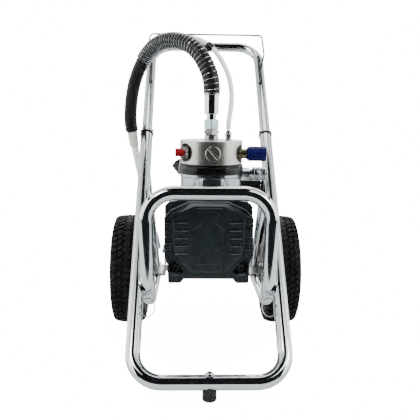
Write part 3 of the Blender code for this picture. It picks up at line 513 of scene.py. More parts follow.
def build_suction_line():
    """Black hose with its coiled wire guard, the sleeve on its far end and the rigid tube with a strainer."""
    path = smooth_route(HOSE_ROUTE, 0.006)
    hose = piece("suction_hose_skin", swept(path, HOSE_R, sides=40), "hose_rubber", node="suction_hose")
    guarded = path[:round(GUARD_SHARE * (len(path) - 1))]
    cover = piece("guard_cover", swept(guarded, GUARD_R, bore=HOSE_R + 0.0003, sides=40), "hose_rubber",
                  body="cart")
    coil = coil_along(guarded, GUARD_R + 0.0002, GUARD_WIRE,
                      lambda share: OPEN_PITCH + (TIGHT_PITCH - OPEN_PITCH) * share ** 1.2)
    guard = piece("spring_guard_wire", swept(coil, GUARD_WIRE, sides=8), "spring_wire", node="spring_guard")

    length = (SLEEVE_END - SLEEVE_TOP).length
    ribs = [point for k in range(3) for point in (
        (0.0117 - 0.0004 * k, 0.007 + 0.006 * k), (0.0109 - 0.0004 * k, 0.008 + 0.006 * k),
        (0.0109 - 0.0004 * k, 0.0098 + 0.006 * k), (0.0116 - 0.0004 * k, 0.0108 + 0.006 * k))]
    sleeve = piece("hose_sleeve_shell",
                   turned([(0, 0.0012), (0.0112, 0.0012), (0.0118, 0.0022), *ribs, (0.0104, length - 0.003),
                           (0.0108, length - 0.001), (0.0104, length), (0, length)]),
                   "sleeve_plastic", along(SLEEVE_END - SLEEVE_TOP, SLEEVE_TOP), "hose_sleeve")
    reach = (TUBE_END - SLEEVE_END).length
    piece("suction_tube_wall", turned([(0.0062, 0.001), (0.0080, 0.001), (0.0080, reach), (0.0062, reach)]),
                 "clear_plastic", along(TUBE_END - SLEEVE_END, SLEEVE_END), "suction_tube")
    strainer = turned([(0, 0.0004), (0.0098, 0.0004), (0.0110, 0.0020), (0.0110, 0.0060), (0.0102, 0.0070),
                       (0.0102, 0.0330), (0.0110, 0.0340), (0.0110, 0.0370), (0.0090, 0.0400), (0, 0.0400)])
    bars = [turned([(0, 0.0065), (0.0006, 0.0065), (0.0006, 0.0335), (0, 0.0335)], 8) for _ in range(24)]
    places = [Matrix.Rotation(2 * pi * k / 24, 4, "Z") @ Matrix.Translation((0.0104, 0, 0)) for k in range(24)]
    piece("strainer_basket", merged(strainer, *zip(bars, places)), "inner_steel",
                   along(TUBE_END - SLEEVE_END, TUBE_END), "suction_strainer")


def build_return_line():
    """Translucent tube with the black clip that ties it to the hose, and its fitting on the head."""
    path = smooth_route(RETURN_ROUTE, 0.006)
    tube = piece("return_tube_skin", swept(path, RETURN_R, bore=0.0037, sides=24), "clear_plastic",
                 node="return_tube")
    heading = (Vector(RETURN_ROUTE[8]) - Vector(RETURN_ROUTE[6])).normalized()
    band = turned([(RETURN_R, -0.0085), (RETURN_R + 0.0018, -0.0080), (RETURN_R + 0.0022, 0),
                   (RETURN_R + 0.0018, 0.0080), (RETURN_R, 0.0085)], 32)
    lug = block((-0.0130, -0.0030, -0.0060), (-0.0045, 0.0030, 0.0060), 0.0010)
    clip = piece("tube_clip", merged(band, lug), "black_plastic", along(heading, RETURN_ROUTE[7]), body="cart")
    x, y = RETURN_ROUTE[0][:2]
    barb = turned([(0, 0.4513), (0.0058, 0.4513), (0.0062, 0.4520), (0.0062, 0.4545), (0.0056, 0.4552),
                   (0.0056, 0.4600), (0.0072, 0.4605), (0.0072, 0.4625), (0.0066, 0.4640), (0.0072, 0.4655),
                   (0.0072, 0.4665), (0.0045, 0.4670), (0.0045, 0.4715), (0, 0.4715)], 48)
    nut = extruded(hexagon(0.0125), 0.4555, 0.4600, 0.0004)
    piece("return_fitting_barb", merged(barb, nut), "bright_steel", Matrix.Translation((x, y, 0)), "return_fitting")


# ---------------------------------------------------------------- tube frame

DEPTH, TUBE_R, TUBE_BORE, HANDLE_R, SLOPE = 0.6707, 0.014, 0.0125, 0.012, radians(45)
MAIN_X, BAR_Y, BAR_Z, BEND_R = 0.1395, -DEPTH / 2 + 0.014, 0.0335, 0.055
COLLAR_AT, HANDLE_BAR_AT, HANDLE_FOOT_AT = 0.592, (DEPTH - 0.014 - 0.012) / cos(SLOPE), 0.300
HANDLE_BEND_R, PIN_AT, RACK_AT, WIRE_R = 0.058, 0.6065, 0.762, 0.0022
GUARD_Y, GUARD_TOP_X, GUARD_TOP_Z, RAIL_X, RAIL_Z = -0.1906, 0.1235, 0.355, 0.117, 0.137
RAIL_BACK, RAIL_BACK_Z, GUARD_CORNER_R, RAIL_BEND_R = 0.122, 0.130, 0.056, 0.045
STRUT_R, STRUT_TOP_AT, STRUT_FOOT_Y = 0.011, 0.502, 0.078
WHEEL_R, WHEEL_W, WHEEL_X, WHEEL_Y, RIM_R, AXLE_R = 0.130, 0.077, 0.179, 0.1044, 0.084, 0.008


def on_slope(x, along_it, lift=0.0):
    """Point of the main tubes' plane: distance up the slope from the front bar, and height off it."""
    return Vector((x, BAR_Y + along_it * cos(SLOPE) - lift * sin(SLOPE),
                   BAR_Z + along_it * sin(SLOPE) + lift * cos(SLOPE)))


def weld_bead(name, center, axis, radius, other_point, other_axis, other_radius, width=0.0013):
    """Rippled bead where a round tube runs into another one, on the side that the axis points to."""
    axis, other_axis = Vector(axis).normalized(), Vector(other_axis).normalized()
    side = axis.orthogonal().normalized()
    up = axis.cross(side)
    count = 96
    loop = []
    for k in range(count):
        angle = 2 * pi * k / count
        start = Vector(center) + radius * (side * cos(angle) + up * sin(angle)) - Vector(other_point)
        flat = start - other_axis * start.dot(other_axis)
        run = axis - other_axis * axis.dot(other_axis)
        a, b, c = run.dot(run), 2 * flat.dot(run), flat.dot(flat) - other_radius ** 2
        reach = (-b + sqrt(max(0.0, b * b - 4 * a * c))) / (2 * a)
        loop.append(start + Vector(other_point) + axis * reach)
    widths = [width * (1 + 0.16 * sin(2 * pi * k / 4)) for k in range(count)]
    piece(name, swept(loop + loop[:2], widths + widths[:2], sides=12), "bright_steel", body="cart", sharp=60)


def build_frame():
    """U-shaped main tube, guard loop running into the lower rails, rear struts, weld beads, front foot."""
    main_path = rounded([on_slope(-MAIN_X, COLLAR_AT), on_slope(-MAIN_X, 0), on_slope(MAIN_X, 0),
                         on_slope(MAIN_X, COLLAR_AT)], [BEND_R] * 2, 24)
    piece("main_tube", swept(main_path, TUBE_R, bore=TUBE_BORE, sides=56), "chrome_tube", node="main_frame")
    right_half = [(RAIL_X, RAIL_BACK, RAIL_BACK_Z), (RAIL_X, GUARD_Y, RAIL_Z), (GUARD_TOP_X, GUARD_Y, GUARD_TOP_Z)]
    left_half = [(-x, y, z) for x, y, z in reversed(right_half)]
    guard_path = rounded(right_half + left_half, [RAIL_BEND_R, GUARD_CORNER_R, GUARD_CORNER_R, RAIL_BEND_R], 24)
    piece("guard_tube", swept(guard_path, TUBE_R, bore=TUBE_BORE, sides=56), "chrome_tube", node="guard_frame")
    slope_axis = on_slope(0, 1) - on_slope(0, 0)
    for side, hand in ((-1, "left"), (1, "right")):
        top, foot = on_slope(side * MAIN_X, STRUT_TOP_AT), Vector((side * RAIL_X, STRUT_FOOT_Y, RAIL_BACK_Z))
        piece(f"strut_tube_{hand}", swept([top, foot], STRUT_R, sides=48), "chrome_tube", node=f"strut_{hand}")
        weld_bead(f"weld_strut_top_{hand}", top, foot - top, STRUT_R, top, slope_axis, TUBE_R)
        rail_axis = Vector((0, RAIL_BACK - GUARD_Y, RAIL_BACK_Z - RAIL_Z))
        weld_bead(f"weld_strut_foot_{hand}", foot, top - foot, STRUT_R, foot, rail_axis, TUBE_R)
        rail_point = Vector((side * RAIL_X, RAIL_BACK, RAIL_BACK_Z))
        for way, word in ((1, "back"), (-1, "front")):
            weld_bead(f"weld_rail_{word}_{hand}", rail_point, way * rail_axis, TUBE_R,
                      on_slope(side * MAIN_X, 0), slope_axis, TUBE_R, 0.0011)

    seat = BAR_Z + TUBE_R
    foot_height = BAR_Z - 0.004
    ring_grooves = [point for k in range(3) for point in ((0.0131, 0.006 + 0.005 * k), (0.0124, 0.0070 + 0.005 * k),
                                                          (0.0124, 0.0080 + 0.005 * k), (0.0131, 0.009 + 0.005 * k))]
    piece("foot_rubber", turned([(0, 0), (0.0108, 0), (0.0128, 0.0016), (0.0132, 0.0040), *ring_grooves,
                                        (0.0130, foot_height - 0.001), (0.0122, foot_height), (0, foot_height)], 56),
                 "soft_rubber", Matrix.Translation((0, BAR_Y, 0)), "front_foot")
    washer = turned([(0, 0), (0.0090, 0), (0.0092, 0.0004), (0.0090, 0.0010), (0, 0.0010)], 48)
    head = turned([(0, 0.0008), (0.0066, 0.0008), (0.0074, 0.0014), (0.0072, 0.0030), (0.0060, 0.0044),
                   (0.0040, 0.0052), (0.0018, 0.0055), (0, 0.0055)], 48)
    bolt = piece("foot_bolt_head", merged(washer, head), "spring_wire", along(Z, (0, BAR_Y, seat + 0.0001)),
                 "foot_bolt")
    cross = [(0.0012, 0.0012), (0.0012, 0.0038), (-0.0012, 0.0038), (-0.0012, 0.0012), (-0.0038, 0.0012),
             (-0.0038, -0.0012), (-0.0012, -0.0012), (-0.0012, -0.0038), (0.0012, -0.0038), (0.0012, -0.0012),
             (0.0038, -0.0012), (0.0038, 0.0012)]
    carve(bolt, (extruded(cross, 0.0032, 0.0080), along(Z, (0, BAR_Y, seat), 0.4)))
    soften(bolt, 0.0002)


def build_handle():
    """Telescoping U tube with its stop pins, the collars on the main tubes and the wire rack."""
    corners = [on_slope(-MAIN_X, HANDLE_FOOT_AT), on_slope(-MAIN_X, HANDLE_BAR_AT),
               on_slope(MAIN_X, HANDLE_BAR_AT), on_slope(MAIN_X, HANDLE_FOOT_AT)]
    piece("handle_tube", swept(rounded(corners, [HANDLE_BEND_R] * 2, 28), HANDLE_R, bore=HANDLE_R - 0.0015, sides=56),
          "chrome_tube", node="handle")
    slope_axis = on_slope(0, 1) - on_slope(0, 0)
    pin_end = HANDLE_R + 0.0035
    for side, hand in ((-1, "left"), (1, "right")):
        piece(f"collar_bush_{hand}",
              turned([(HANDLE_R + GAP, 0.0002), (0.0152, 0.0002), (0.0158, 0.0008), (0.0158, 0.0040),
                      (0.0150, 0.0058), (0.0135, 0.0065), (HANDLE_R + GAP, 0.0065)]), "clamp_black",
              along(slope_axis, on_slope(side * MAIN_X, COLLAR_AT)), f"collar_{hand}")
        domes = [(0, -pin_end), (0.0022, -pin_end + 0.0004), (0.0030, -pin_end + 0.0014),
                 (0.0030, pin_end - 0.0014), (0.0022, pin_end - 0.0004), (0, pin_end)]
        piece(f"stop_button_{hand}", turned(domes, 32), "spring_wire", along(X, on_slope(side * MAIN_X, PIN_AT)),
              f"stop_pin_{hand}")
        foot = on_slope(side * (MAIN_X - 0.003), RACK_AT, HANDLE_R - 0.0006)
        piece(f"rack_grommet_{hand}",
              turned([(WIRE_R, -0.0006), (0.0044, -0.0004), (0.0042, 0.0012), (0.0034, 0.0022), (WIRE_R, 0.0024)], 32),
              "soft_rubber", along((0, -1, 1), foot), body="handle")
    foot = on_slope(MAIN_X - 0.003, RACK_AT, HANDLE_R - 0.0012)
    kink_z, top_z = 0.650, 0.696
    right = [foot, (foot.x, foot.y, foot.z + 0.030), (foot.x + 0.008, foot.y, kink_z), (foot.x + 0.001, foot.y, top_z)]
    left = [(-x, y, z) for x, y, z in reversed(right)]
    piece("rack_rod", swept(rounded(right + left, [0.03, 0.012, 0.011, 0.011, 0.012, 0.03], 10), WIRE_R, sides=20),
          "rack_wire", node="hose_rack")


# ---------------------------------------------------------------- wheels

TREAD_PITCHES = 54
TREAD_DEPTH = 0.0042


def crown(offset):
    """Radius of the tread's face at a distance from the tyre's middle plane."""
    return WHEEL_R - 0.0008 * (offset / 0.020) ** 2 - 0.0042 * (offset / 0.036) ** 6


def tread_block(bm, outline):
    """One rubber block: outline of (offset, turn) points, standing TREAD_DEPTH high with sloping sides."""
    middle = Vector((sum(p[0] for p in outline), sum(p[1] for p in outline))) / len(outline)
    loops = []
    for spread, sink in ((1.10, TREAD_DEPTH), (1.0, 0.0006), (0.93, 0.0)):
        loop = []
        for offset, turn in outline:
            offset = middle.x + (offset - middle.x) * spread
            turn = middle.y + (turn - middle.y) * spread
            radius = crown(offset) - sink
            loop.append(bm.verts.new((radius * cos(turn), radius * sin(turn), offset)))
        loops.append(loop)
    for near, far in zip(loops, loops[1:]):
        for k in range(len(near)):
            bm.faces.new((near[k - 1], near[k], far[k], far[k - 1]))
    bm.faces.new(loops[0])
    top = bm.faces.new(loops[-1])
    bmesh.ops.triangulate(bm, faces=[top])


def tyre_shape():
    """Carcass with sidewall rings and a tread of chevrons, side blocks and shoulder lugs."""
    floor = [(crown(offset / 1000) - TREAD_DEPTH + 0.0002, offset / 1000) for offset in range(-32, 33, 4)]
    wall = [(0.1175, 0.0372), (0.1120, 0.0385), (0.1085, 0.0384), (0.1078, 0.0377), (0.1060, 0.0377),
            (0.1052, 0.0383), (0.1000, 0.0374), (0.0960, 0.0360), (0.0950, 0.0348), (0.0935, 0.0348),
            (0.0925, 0.0354), (0.0880, 0.0335), (0.0835, 0.0300)]
    profile = [(r, -x) for r, x in reversed(wall)] + floor + wall
    carcass = turned(profile, 120)
    blocks = bmesh.new()
    step = 2 * pi / TREAD_PITCHES
    for k in range(TREAD_PITCHES):
        start, width = k * step, 0.62 * step
        chevron = [(-0.0085, start), (0, start + 0.42 * step), (0.0085, start), (0.0085, start + width),
                   (0, start + 0.42 * step + width), (-0.0085, start + width)]
        tread_block(blocks, chevron)
        for side in (-1, 1):
            shift = start + 0.5 * step
            tread_block(blocks, [(side * 0.0105, shift + 0.10 * step), (side * 0.0205, shift - 0.25 * step),
                                 (side * 0.0205, shift - 0.25 * step + width), (side * 0.0105, shift + 0.1 * step + width)])
            tread_block(blocks, [(side * 0.0225, start + 0.30 * step), (side * 0.0300, start + 0.02 * step),
                                 (side * 0.0352, start + 0.02 * step), (side * 0.0352, start + 0.02 * step + width),
                                 (side * 0.0300, start + 0.02 * step + width), (side * 0.0225, start + 0.3 * step + width)])
    return merged(carcass, blocks)


def build_wheels():
    """Tyres, two-part steel rims with bolts and a valve stem, the axle and its caps."""
    half = WHEEL_W / 2
    lip = [(RIM_R - 0.0085, 0.0296), (RIM_R - 0.0030, 0.0304), (RIM_R - 0.0022, 0.0316), (RIM_R + 0.0010, 0.0322),
           (RIM_R + 0.0016, 0.0332), (RIM_R + 0.0006, 0.0342), (RIM_R - 0.0030, 0.0338)]
    barrel_out = [(0.0785, 0.0315), (0.0755, 0.0290), (0.0740, 0.0220), (0.0735, 0.0040)]
    dish = [(0.0690, -0.0020), (0.0600, 0.0020), (0.0480, 0.0070), (0.0380, 0.0085), (0.0300, 0.0085),
            (0.0220, 0.0060)]
    back = [(0.0220, 0.0030), (0.0300, 0.0055), (0.0380, 0.0055), (0.0480, 0.0040), (0.0600, -0.0010),
            (0.0690, -0.0055), (0.0735, -0.0060), (0.0740, -0.0220), (0.0755, -0.0290), (0.0785, -0.0315)]
    inner_lip = [(r, -z) for r, z in reversed(lip)]
    drop = [(0.0762, -0.0285), (0.0762, 0.0285)]
    rim_profile = lip + barrel_out + dish + back + inner_lip[:-1] + [(RIM_R - 0.0085, -0.0296)] + drop
    for side, hand in ((-1, "left"), (1, "right")):
        place = along(side * X, (side * WHEEL_X, WHEEL_Y, WHEEL_R))
        body = f"wheel_{hand}"
        piece(f"tyre_tread_{hand}", tyre_shape(), "tyre_rubber", place, f"tyre_{hand}", sharp=40)
        rim = piece(f"rim_pan_{hand}", turned(rim_profile, 96), "rim_paint", place, f"rim_{hand}")
        holes = [(turned([(0, -0.03), (0.0085, -0.03), (0.0085, 0.03), (0, 0.03)], 32),
                  place @ Matrix.Rotation(2 * pi * (k + 0.5) / 6, 4, "Z") @ Matrix.Translation((0.0545, 0, 0)))
                 for k in range(6)]
        carve(rim, *holes)
        hub = turned([(AXLE_R + GAP, -half + 0.001), (0.0150, -half + 0.001), (0.0162, -half + 0.003),
                      (0.0162, -0.012), (0.0225, -0.007), (0.0225, 0.0065), (0.0162, 0.010), (0.0162, half - 0.003),
                      (0.0150, half - 0.001), (AXLE_R + GAP, half - 0.001)], 64)
        bolts = []
        for k in range(4):
            spot = Matrix.Rotation(2 * pi * k / 4 + 0.3, 4, "Z") @ Matrix.Translation((0.0335, 0, 0))
            head = extruded(hexagon(0.0100), 0.0084, 0.0128, 0.0006)
            nut = extruded(hexagon(0.0100), -0.0005, 0.0056, 0.0006)
            bolts += [(head, spot), (nut, spot)]
        piece(f"hub_{hand}", hub, "rim_paint", place, body=body)
        piece(f"rim_bolts_{hand}", merged(*bolts), "zinc", place, body=body)
        stem_path = [(0.0740, 0, 0.014), (0.0690, 0, 0.018), (0.0660, 0, 0.024), (0.0650, 0, 0.034)]
        stem = swept(smooth_route(stem_path, 0.002), 0.0032, sides=20)
        cap = turned([(0, 0.0), (0.0036, 0.0), (0.0038, 0.0006), (0.0038, 0.0068), (0.0030, 0.0078), (0, 0.0080)], 24)
        piece(f"valve_stem_{hand}", merged(stem, (cap, Matrix.Translation((0.0650, 0, 0.0300)))), "soft_rubber",
              place, body=body)
        cap_place = along(side * X, (side * (WHEEL_X + half), WHEEL_Y, WHEEL_R))
        piece(f"axle_push_cap_{hand}",
              turned([(0, 0.0120), (0.0050, 0.0116), (0.0095, 0.0098), (0.0118, 0.0070), (0.0124, 0.0040),
                      (0.0136, 0.0032), (0.0138, 0.0010), (0.0132, GAP), (AXLE_R + GAP, GAP),
                      (AXLE_R + GAP, 0.0075), (0, 0.0075)]), "spring_wire", cap_place, f"axle_cap_{hand}")
        spacer = turned([(AXLE_R + 0.0002, 0), (0.0115, 0), (0.0118, 0.0004), (0.0118, 0.0046), (0.0115, 0.0050),
                         (AXLE_R + 0.0002, 0.0050)], 48)
        piece(f"axle_spacer_{hand}", spacer, "zinc",
              along(side * X, (side * (WHEEL_X - half - 0.0062), WHEEL_Y, WHEEL_R)), body="cart")
    end = WHEEL_X + half + 0.006
    piece("axle_rod", turned([(0, -end), (AXLE_R - 0.001, -end), (AXLE_R, -end + 0.001), (AXLE_R, end - 0.001),
                              (AXLE_R - 0.001, end), (0, end)], 48), "bright_steel",
          along(X, (0, WHEEL_Y, WHEEL_R)), "axle")


# ---------------------------------------------------------------- motor

MOTOR_X, MOTOR_Z, MOTOR_R, MOTOR_WALL = 0.001, 0.2465, 0.080, 0.006
COWL_FRONT, COWL_BACK, HOUSING_BACK = -0.156, -0.118, 0.068
VENT_PITCH, VENT_ROWS, VENT_Z = 0.0157, 5, 0.0145


def mirrored(half):
    """Outline from its right half, as (x, z) about the motor's axis, for a push along +Y."""
    return [(x, MOTOR_Z - z) for x, z in half] + [(-x, MOTOR_Z - z) for x, z in reversed(half)]


def frustum(low_outline, high_outline, low, high, bevel=0.0):
    """Solid between two outlines of the same number of points."""
    bm = bmesh.new()
    loops = [[bm.verts.new((a, b, height)) for a, b in outline]
             for outline, height in ((low_outline, low), (high_outline, high))]
    for k in range(len(low_outline)):
        bm.faces.new((loops[0][k - 1], loops[0][k], loops[1][k], loops[1][k - 1]))
    for loop in loops:
        bm.faces.new(loop)
    bmesh.ops.recalc_face_normals(bm, faces=bm.faces)
    if bevel:
        bmesh.ops.bevel(bm, geom=list(bm.edges), offset=bevel, segments=2, affect="EDGES", profile=0.5)
    return bm


def cowl_block(low, high, bevel=0.0004):
    """Box given by its (x, y, z) corners about the motor's axis, in the cowl's own axes."""
    return block((low[0], MOTOR_Z - low[2], low[1]), (high[0], MOTOR_Z - high[2], high[1]), bevel)


def build_cowl():
    """Front cover: shell with feet, bevelled octagon, hourglass panel, vent slots, stepped sides, corner screws."""
    place = along(Y, (MOTOR_X, 0, MOTOR_Z))
    step = COWL_FRONT + 0.006
    shell = [(0.0400, 0.3310), (0.0740, 0.3150), (0.0885, 0.3010), (0.0890, 0.2990), (0.0890, 0.2240),
             (0.0830, 0.2050), (0.0815, 0.1690), (0.0790, 0.1660), (0.0570, 0.1660), (0.0540, 0.1680),
             (0.0500, 0.1745)]
    outer = [(0.0365, 0.3290), (0.0745, 0.3040), (0.0745, 0.2310), (0.0355, 0.1870)]
    inner = [(0.0285, 0.3240), (0.0695, 0.2965), (0.0695, 0.2375), (0.0305, 0.1935)]
    cowl = piece("cowl_shell", extruded(mirrored(shell), step, COWL_BACK), "cowl_plastic", place,
                 "motor_cowl")
    shoulders = [(0.0600, 0.3325), (0.0790, 0.3300), (0.0885, 0.3205), (0.0885, 0.2700), (0.0740, 0.2700)]
    piece("cowl_shoulders", extruded(mirrored(shoulders), COWL_BACK - 0.016, COWL_BACK - 0.0005, 0.0006),
          "cowl_plastic", place, body="cart")
    lower_pocket = [(0.0470, 0.1890), (0.0720, 0.2170), (0.0800, 0.2080), (0.0775, 0.1830), (0.0560, 0.1800)]
    upper_pocket = [(0.0480, 0.3245), (0.0730, 0.3125), (0.0830, 0.3010), (0.0770, 0.3050)]
    for side in (-1, 1):
        for pocket, pocket_depth in ((lower_pocket, 0.027), (upper_pocket, 0.014)):
            outline = [(side * x, MOTOR_Z - z) for x, z in pocket]
            carve(cowl, (extruded(outline, step - 0.01, step + pocket_depth), place))
    face = frustum(mirrored(inner), mirrored(outer), COWL_FRONT, COWL_FRONT + 0.0050)
    plinth = extruded(mirrored(outer), COWL_FRONT + 0.0050, step + 0.003)
    carve(cowl, (plinth, place), (face, place), operation="UNION")
    inside = turned([(0, step + 0.004), (0.064, step + 0.004), (0.068, step + 0.008), (0.068, COWL_BACK + 0.01),
                     (0, COWL_BACK + 0.01)], 72)
    carve(cowl, (inside, place))
    for side in (-1, 1):
        for k in range(VENT_ROWS):
            z = MOTOR_Z + VENT_Z + (k - 2) * VENT_PITCH
            slot = cowl_block((side * 0.0430, COWL_FRONT - 0.01, z - 0.0014),
                              (side * 0.0650, COWL_FRONT + 0.02, z + 0.0014), 0.0006)
            carve(cowl, (slot, place))
    soften(cowl, 0.0009)

    hourglass = [(0.0276, 0.3210), (0.0276, 0.3112), (0.0128, 0.2910), (0.0312, 0.2747), (0.0315, 0.2468),
                 (0.0130, 0.2301), (0.0270, 0.2075), (0.0270, 0.1935)]
    inset = [(0.0270, 0.3204), (0.0270, 0.3115), (0.0119, 0.2910), (0.0304, 0.2744), (0.0307, 0.2471),
             (0.0121, 0.2301), (0.0264, 0.2073), (0.0264, 0.1941)]
    panel = frustum(mirrored(inset), mirrored(hourglass), COWL_FRONT - 0.0011, COWL_FRONT + 0.001, 0.00015)
    tabs = [cowl_block((-0.0262, COWL_FRONT - 0.0019, low), (0.0262, COWL_FRONT, high), 0.0005)
            for low, high in ((0.3118, 0.3199), (0.1946, 0.2068))]
    piece("cowl_panel", merged(panel, *tabs), "cowl_plastic", place, body="cart")

    trims = []
    for side in (-1, 1):
        for k in range(VENT_ROWS):
            z = MOTOR_Z + VENT_Z + (k - 2) * VENT_PITCH
            lip = [(side * 0.0415, z - 0.0034), (side * 0.0665, z - 0.0034), (side * 0.0665, z - 0.0015),
                   (side * 0.0415, z - 0.0015)]
            ridge = [(x, height - 0.0010) if height > z - 0.002 else (x, height) for x, height in lip]
            trims.append(frustum([(x, MOTOR_Z - height) for x, height in ridge],
                                 [(x, MOTOR_Z - height) for x, height in lip], COWL_FRONT - 0.0014, COWL_FRONT + 0.0008))
        for k in range(6):
            z = 0.2265 + 0.0135 * k
            low, high = z, z + 0.0092
            step_out = [(side * 0.0735, low), (side * 0.0875, low + 0.0012), (side * 0.0875, high - 0.0012),
                        (side * 0.0735, high)]
            outline = [(x, MOTOR_Z - height) for x, height in step_out]
            trims.append(extruded(outline, COWL_FRONT + 0.0022, step + 0.002, 0.0006))
            trims.append(cowl_block((side * 0.0735, COWL_FRONT + 0.0044, low - 0.0030),
                                    (side * 0.0845, step + 0.002, low + 0.0001), 0.0004))
    for side in (-1, 1):
        strip = [(side * 0.0385, 0.3285), (side * 0.0455, 0.3262), (side * 0.0765, 0.3055), (side * 0.0765, 0.2990)]
        trims.append(extruded([(x, MOTOR_Z - z) for x, z in strip], COWL_FRONT + 0.0030, step + 0.002, 0.0007))
    piece("cowl_steps", merged(*trims), "cowl_plastic", place, body="cart")

    bosses, screws = [], []
    for side in (-1, 1):
        spot = Matrix.Translation((side * 0.0665, MOTOR_Z - 0.1925, step + 0.026))
        bosses.append((turned([(0, -0.0110), (0.0040, -0.0110), (0.0040, -0.0120), (0.0062, -0.0120),
                               (0.0070, -0.0112), (0.0076, 0.0010), (0, 0.0010)], 40), spot))
        screws.append((turned([(0, -0.0125), (0.0022, -0.0124), (0.0034, -0.0116), (0.0036, -0.0108),
                               (0, -0.0108)], 32), spot))
    piece("cowl_bosses", merged(*bosses), "cowl_plastic", place, body="cart")
    piece("cowl_screws", merged(*screws), "clamp_black", place, body="cart")


def build_motor():
    """Finned casting, rear bell with vents and bolts, side mounts with their bolts."""
    place = along(Y, (MOTOR_X, 0, MOTOR_Z))
    front, back = COWL_BACK + GAP, HOUSING_BACK - GAP
    inner = MOTOR_R - MOTOR_WALL
    teeth, root = 44, MOTOR_R - 0.0042
    fins = []
    for k in range(teeth):
        for share, radius in ((0.0, root), (0.28, root), (0.40, MOTOR_R), (0.66, MOTOR_R), (0.78, root)):
            angle = 2 * pi * (k + share) / teeth
            fins.append((radius * cos(angle), radius * sin(angle)))
    housing = piece("motor_casting", extruded(fins, front + 0.012, back - 0.010), "aluminium", place, "motor_housing")
    for low, high in ((front, front + 0.0125), (back - 0.0105, back)):
        band = turned([(0, low), (MOTOR_R - 0.001, low), (MOTOR_R, low + 0.001), (MOTOR_R, high - 0.0015),
                       (MOTOR_R - 0.0015, high), (0, high)], 96)
        carve(housing, (band, place), operation="UNION")
    pad_face = 0.0905
    for side in (-1, 1):
        pad = block((side * 0.066, -0.025, 0.187), (side * pad_face, 0.045, 0.213), 0.002)
        carve(housing, (pad, Matrix.Identity(4)), operation="UNION")
    box_pad = block((0.030, 0.010, 0.290), (0.078, 0.055, 0.3222), 0.002)
    boss = turned([(0, MOTOR_Z + 0.05), (0.0405, MOTOR_Z + 0.05), (0.0405, 0.3290), (0.0430, 0.3320),
                   (0.0430, 0.3377), (0, 0.3377)], 72)
    carve(housing, (box_pad, Matrix.Identity(4)), (boss, Matrix.Translation((0.006, -0.0756, 0))),
          operation="UNION")
    core = turned([(0, front + 0.008), (inner, front + 0.008), (inner, back + 0.01), (0, back + 0.01)], 72)
    shaft_hole = turned([(0, front - 0.01), (0.0193, front - 0.01), (0.0193, front + 0.02), (0, front + 0.02)], 48)
    piston_bore = turned([(0, MOTOR_Z + 0.06), (0.0083, MOTOR_Z + 0.06), (0.0083, 0.35), (0, 0.35)], 32)
    carve(housing, (core, place), (shaft_hole, place), (piston_bore, Matrix.Translation((0.006, -0.0756, 0))))
    soften(housing, 0.0005)

    bell = piece("rear_bell",
                 turned([(0, back + 0.0205), (0.0200, back + 0.0205), (0.0220, back + 0.0195), (0.0230, back + 0.0170),
                         (0.0300, back + 0.0165), (0.0600, back + 0.0160), (0.0700, back + 0.0145),
                         (0.0770, back + 0.0110), (MOTOR_R, back + 0.0060), (MOTOR_R, back + GAP),
                         (0.0193, back + GAP), (0.0193, back + 0.0125), (0, back + 0.0125)], 96),
                 "aluminium", place, "rear_end_bell")
    for k in range(12):
        turn = Matrix.Rotation(2 * pi * (k + 0.5) / 12, 4, "Z")
        slot = block((0.0330, -0.0026, back + 0.0125), (0.0580, 0.0026, back + 0.0300), 0.0024)
        carve(bell, (slot, place @ turn))
    soften(bell, 0.0006)
    heads = []
    for k in range(4):
        spot = Matrix.Rotation(2 * pi * (k + 0.5) / 4, 4, "Z") @ Matrix.Translation((0.0690, 0, back + 0.0140))
        heads.append((turned([(0, 0), (0.0052, 0), (0.0054, 0.0008), (0.0054, 0.0042), (0.0046, 0.0050),
                              (0.0026, 0.0050), (0.0026, 0.0022), (0, 0.0022)], 32), spot))
    piece("bell_screws", merged(*heads), "bright_steel", place, body="cart")

    for side, hand in ((-1, "left"), (1, "right")):
        plate = side * (pad_face + GAP)
        outer = plate + side * 0.003
        profile = [(plate, 0.2200), (plate, 0.1445), (side * 0.1275, 0.1445), (side * 0.1275, 0.1500),
                   (outer + side * 0.003, 0.1505), (outer, 0.1535), (outer, 0.2200)]
        outline = [(x - MOTOR_X, MOTOR_Z - z) for x, z in profile]
        mount = piece(f"mount_bracket_{hand}", extruded(outline, -0.020, 0.040, 0.0006), "bright_steel", place,
                      f"motor_mount_{hand}")
        carve(mount, (block((plate - 0.01, -0.002, 0.158), (outer + 0.01, 0.022, 0.178), 0.006),
                      Matrix.Identity(4)))
        bolts = []
        for y in (-0.010, 0.030):
            bolts.append((extruded(hexagon(0.0100), 0, 0.0050, 0.0006),
                          along(side * X, (outer, y, 0.2000))))
            bolts.append((turned([(0, -0.0004), (0.0072, -0.0004), (0.0074, 0.0002), (0.0072, 0.0008), (0, 0.0008)],
                                 32), along(side * X, (outer, y, 0.2000))))
        piece(f"mount_bolts_{hand}", merged(*bolts), "zinc", body="cart")


